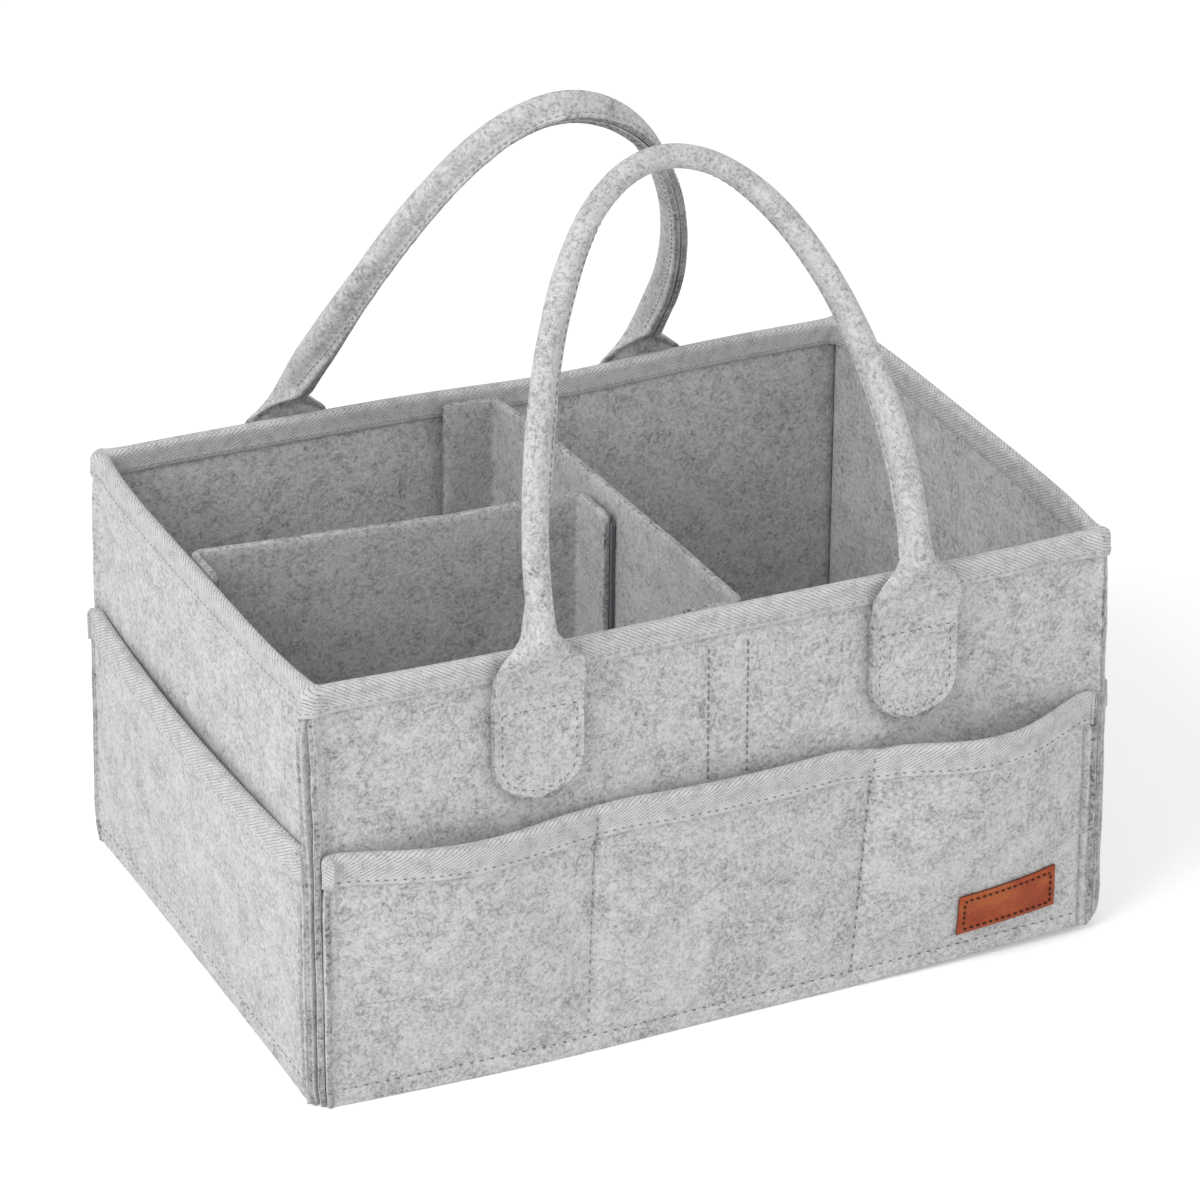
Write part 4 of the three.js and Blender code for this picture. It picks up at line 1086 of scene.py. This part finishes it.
def thread_material(name, dark, light):
    """Twisted polyester sewing thread: a faint gleam and a 0.5 mm twist."""
    material = blank(bpy.data.materials.new(name))
    place = add(material, "Attribute", attribute_name="fibre_place")["Vector"]
    twist = add(material, "TexNoise", {"Vector": place, "Scale": 1 / (0.5556 * mm), "Detail": 2.0})["Fac"]
    colour = add(material, "ValToRGB", {"Fac": twist}, [(0.3, dark), (0.7, light)])["Color"]
    bump = add(material, "Bump", {"Strength": 0.5, "Distance": 0.1 * mm, "Height": twist})[0]
    inputs = {"Base Color": colour, "Roughness": 0.6, "IOR": 1.55, "Specular IOR Level": 0.3, "Normal": bump}
    add(material, "OutputMaterial", {"Surface": add(material, "BsdfPrincipled", inputs)[0]})
    return material


# This thread is grey, but drawn darker than it is: painted shade of the pits where its stitches sink into the felt.
grey_thread_with_painted_pit_shade = thread_material("grey_polyester_thread", "#666669", "#858588")
light_thread = thread_material("light_grey_polyester_thread", "#9c9c9e", "#b8b8ba")
brown_thread = thread_material("dark_brown_polyester_thread", "#27100a", "#45200f")
trees = {}


def sew(name, lines, cloth, thread=grey_thread_with_painted_pit_shade, pitch=3.4 * mm, stitch=2.5 * mm, radius=0.27 * mm, lift=0.16 * mm):
    """Lockstitches along lines close to a cloth's face: each rises from the cloth and sinks into it again."""
    tree = trees.setdefault(cloth.name, tree_of(cloth))
    starts, finishes, normals = [], [], []
    for line in lines:
        line = np.asarray(line)
        length = travelled(line)
        for begin in np.arange(0, length[-1] - stitch, pitch):
            begin = begin + 0.12 * pitch * noise.noise(Vector((begin / (5 * mm), 3.3, 0.7)))
            ends = [np.array([np.interp(begin + s, length, line[:, k]) for k in range(3)]) for s in (0, stitch)]
            found = [tree.find_nearest(Vector(end)) for end in ends]
            starts.append(np.array(found[0][0]))
            finishes.append(np.array(found[1][0]))
            normals.append(unit(np.array(found[0][1]) + np.array(found[1][1])))
    starts, finishes, normals = np.array(starts), np.array(finishes), np.array(normals)
    run = finishes - starts
    over = unit(np.cross(run, normals))
    rings, corners = 5, 6
    points = []
    for share in np.linspace(0, 1, 5):
        rise = lift + radius * 0.6 - ((lift + radius * 1.9) * abs(2 * share - 1) ** 3)
        centre = starts + run * share + normals * rise
        for angle in (2 * math.pi * corner / 6 for corner in range(6)):
            points.append(centre + radius * (over * math.cos(angle) + normals * math.sin(angle)))
    faces = [face for n in range(len(starts)) for face in tube_faces(n * len(points), 5, 6)]
    return mesh_piece(name, np.stack(points, axis=1).reshape(-1, 3), faces, [thread])


def up_divide(side, number, shares, offset):
    """A seam line up a pocket's divide, off the middle of the strip's felt."""
    line = []
    for share in shares:
        place = pocket_seams(side, share)[number]
        along, out, heights = (column[10:-10] for column in pocket_row(side, share, offset=offset))
        line.append((place, np.interp(place, along, out), np.interp(place, along, heights)))
    return settle(on_side(side, *np.array(line).T))


for side in sides:
    divides = (1, 2) if side in ("front", "back") else ()
    off = 1.2 * mm
    foot = (column[10:-10] for column in pocket_row(side, 0, stitched_height, offset=off))
    seams = [settle(on_side(side, *foot))]
    seams += [up_divide(side, number, np.linspace(0.0, 1.0, 30), off) for number in divides]
    form = {"pitch": 4.4 * mm, "stitch": 1.9 * mm, "radius": 0.26 * mm, "lift": 0.0}
    ride_on(sew(f"{side}_bottom_and_pocket_stitches", seams, pocket_panels[side], **form), "basket")
    off = stand + 0.8 * mm
    band_line = (column[6:-6] for column in pocket_row(side, band_share + (1 - band_share) * 0.17, offset=off))
    seams = [settle(on_side(side, *band_line))]
    seams += [up_divide(side, number, np.linspace(band_share, 1.0, 8), off) for number in divides]
    thread = grey_thread_with_painted_pit_shade if side == "front" else light_thread
    form = {"pitch": 3.6 * mm, "stitch": 1.7 * mm, "radius": 0.21 * mm, "lift": 0.05 * mm}
    ride_on(sew(f"{side}_pocket_tape_stitches", seams, bindings[side], thread, **form), "basket")

low = np.full(len(rim_line) + 1, rim_bottom + 2.2 * mm)
outside, inside = rim_outline(tape_off + 2 * mm), inner_line * (1 - 2 * mm / half_length)
seams = [settle(np.column_stack([np.vstack([line, line[:1]]), low])) for line in (outside, inside)]
ride_on(sew("rim_tape_stitches", seams, rim, light_thread), "basket")

for name in handles:
    inset = tongue_half - tongue_inset
    round_from = tongue_bottom + tongue_round
    drop = tongue_round - tongue_inset
    climb = np.linspace(round_from, free_from, 8)
    outline = [(-inset, height) for height in climb[::-1]]
    for angle in np.linspace(0, math.pi, 16)[1:-1]:
        outline.append((-inset * math.cos(angle), round_from - drop * math.sin(angle)))
    outline += [(inset, height) for height in climb]
    outline += [(x, free_from) for x in np.linspace(inset, -inset, 8)[1:]]
    outline = np.array(outline)
    seams = []
    for hand in (-1, 1):
        middle_x = handle_shift[name] + hand * handle_spread / 2
        seams.append(settle(on_side(name, middle_x + outline[:, 0], 12 * mm, outline[:, 1])))
    form = {"pitch": 4.0 * mm, "stitch": 1.8 * mm, "radius": 0.24 * mm, "lift": -0.02 * mm}
    ride_on(sew(f"{name}_tongue_stitches", seams, handles[name], **form), "basket")
    turned, inward, across, from_end = handle_frames[name]
    kept = from_end > rim_top + 20 * mm - tongue_bottom
    lips = turned[kept] + inward[kept] * 6.0 * mm
    seams = [beside_handle(name, lips + across[kept] * hand * 5.0 * mm) for hand in (-1, 1)]
    flex(sew(f"{name}_handle_seam_stitches", seams, handles[name], light_thread))

for side, middle_x in (("front", 2.6 * mm), ("back", 4 * mm)):
    heights = np.linspace(strip_top - 2 * mm, pocket_top - 8 * mm, 14)
    places = [middle_x + edge * (strip_half - 1.5 * mm) for edge in (-1, 1)]
    seams = [settle(on_side(side, place, 8 * mm, heights)) for place in places]
    ride_on(sew(f"{side}_wall_strip_stitches", seams, walls[side]), "basket")

inset = 2.4 * mm
box = np.array([[-1, -1], [1, -1], [1, 1], [-1, 1], [-1, -1]])
box = box * [label_width / 2 - inset, label_height / 2 - inset]
box = np.concatenate([here + (there - here) * np.arange(12)[:, None] / 12 for here, there in zip(box, box[1:])])
label_tree = tree_of(label)
seam = []
for along, height in [*box, box[0]]:
    x, z = label_spot(along, height)
    hit, normal, _, _ = label_tree.ray_cast(Vector((x, -half_depth - 58 * mm, z)), Vector((0, 1, 0)))
    seam.append(np.array(hit) + np.array(normal) * 0.5 * mm)
form = {"pitch": 2.9 * mm, "stitch": 2.0 * mm, "radius": 0.42 * mm}
ride_on(sew("leather_label_stitches", [seam], label, brown_thread, **form), "basket")

# Studio: a white table that keeps the caddy's soft shadow, an even white surround, one large soft light from the
# upper left and a weak one from the right, and the camera where the picture was taken.
white_table = blank(bpy.data.materials.new("white_studio_table"))
fine = add(white_table, "TexNoise", {"Scale": 1 / (25 * mm), "Detail": 2.0})["Fac"]
paint = add(white_table, "ValToRGB", {"Fac": fine}, [(0.0, "#f1f1f1"), (1.0, "#f6f6f6")])["Color"]
matt = add(white_table, "BsdfDiffuse", {"Color": paint})[0]
glow = add(white_table, "Emission", {"Color": (1, 1, 1, 1), "Strength": 0.3})[0]
both = add(white_table, "AddShader", {0: matt, 1: glow})[0]
ray = add(white_table, "LightPath")["Is Camera Ray"]
add(white_table, "OutputMaterial", {"Surface": add(white_table, "MixShader", {0: ray, 1: matt, 2: both})[0]})
half_table = 12.0
corners = [(x * half_table, y * half_table, 0) for x, y in ((-1, -1), (1, -1), (1, 1), (-1, 1))]
table = mesh_piece("studio_table", corners, [[0, 1, 2, 3]], [white_table])
table.location.z = -0.05 * mm

world = blank(bpy.data.worlds.new("white_surround"))
ray = add(world, "LightPath")["Is Camera Ray"]
dim, white = (add(world, "Background", {"Color": (1, 1, 1, 1), "Strength": power})[0] for power in (0.65, 1.0))
add(world, "OutputWorld", {"Surface": add(world, "MixShader", {0: ray, 1: dim, 2: white})[0]})
bpy.context.scene.world = world

for name, spot, power in (("soft_key", (-2.13, -0.74, 1.95), 43.0), ("soft_fill", (1.6, -1.9, 1.2), 9.0)):
    lamp = bpy.data.lights.new(name, "AREA")
    lamp.shape = "SQUARE"
    lamp.size = 1.6
    lamp.energy = power
    holder = bpy.data.objects.new(name, lamp)
    holder.location = spot
    holder.rotation_mode = "QUATERNION"
    holder.rotation_quaternion = (Vector((0, 0, 0.12)) - Vector(spot)).to_track_quat("-Z", "Y")
    bpy.context.scene.collection.objects.link(holder)

azimuth, elevation, roll = math.radians(-25.39), math.radians(26.77), math.radians(0.665)
level = math.cos(elevation)
back = Vector((math.sin(azimuth) * level, -math.cos(azimuth) * level, math.sin(elevation)))
right = Vector((0, 0, 1)).cross(back).normalized()
up = back.cross(right)
turned_right = right * math.cos(roll) + up * math.sin(roll)
turned_up = up * math.cos(roll) - right * math.sin(roll)
camera_data = bpy.data.cameras.new("camera")
camera_data.sensor_width = 36.0
camera_data.lens = 166.8
camera_data.clip_end = 100.0
camera = bpy.data.objects.new("camera", camera_data)
rows = Matrix((turned_right, turned_up, back)).transposed().to_4x4()
camera.matrix_world = Matrix.Translation((-0.86079, -1.81843, 1.14493)) @ rows
bpy.context.scene.collection.objects.link(camera)
bpy.context.scene.camera = camera
bpy.context.scene.view_settings.view_transform = "Standard"
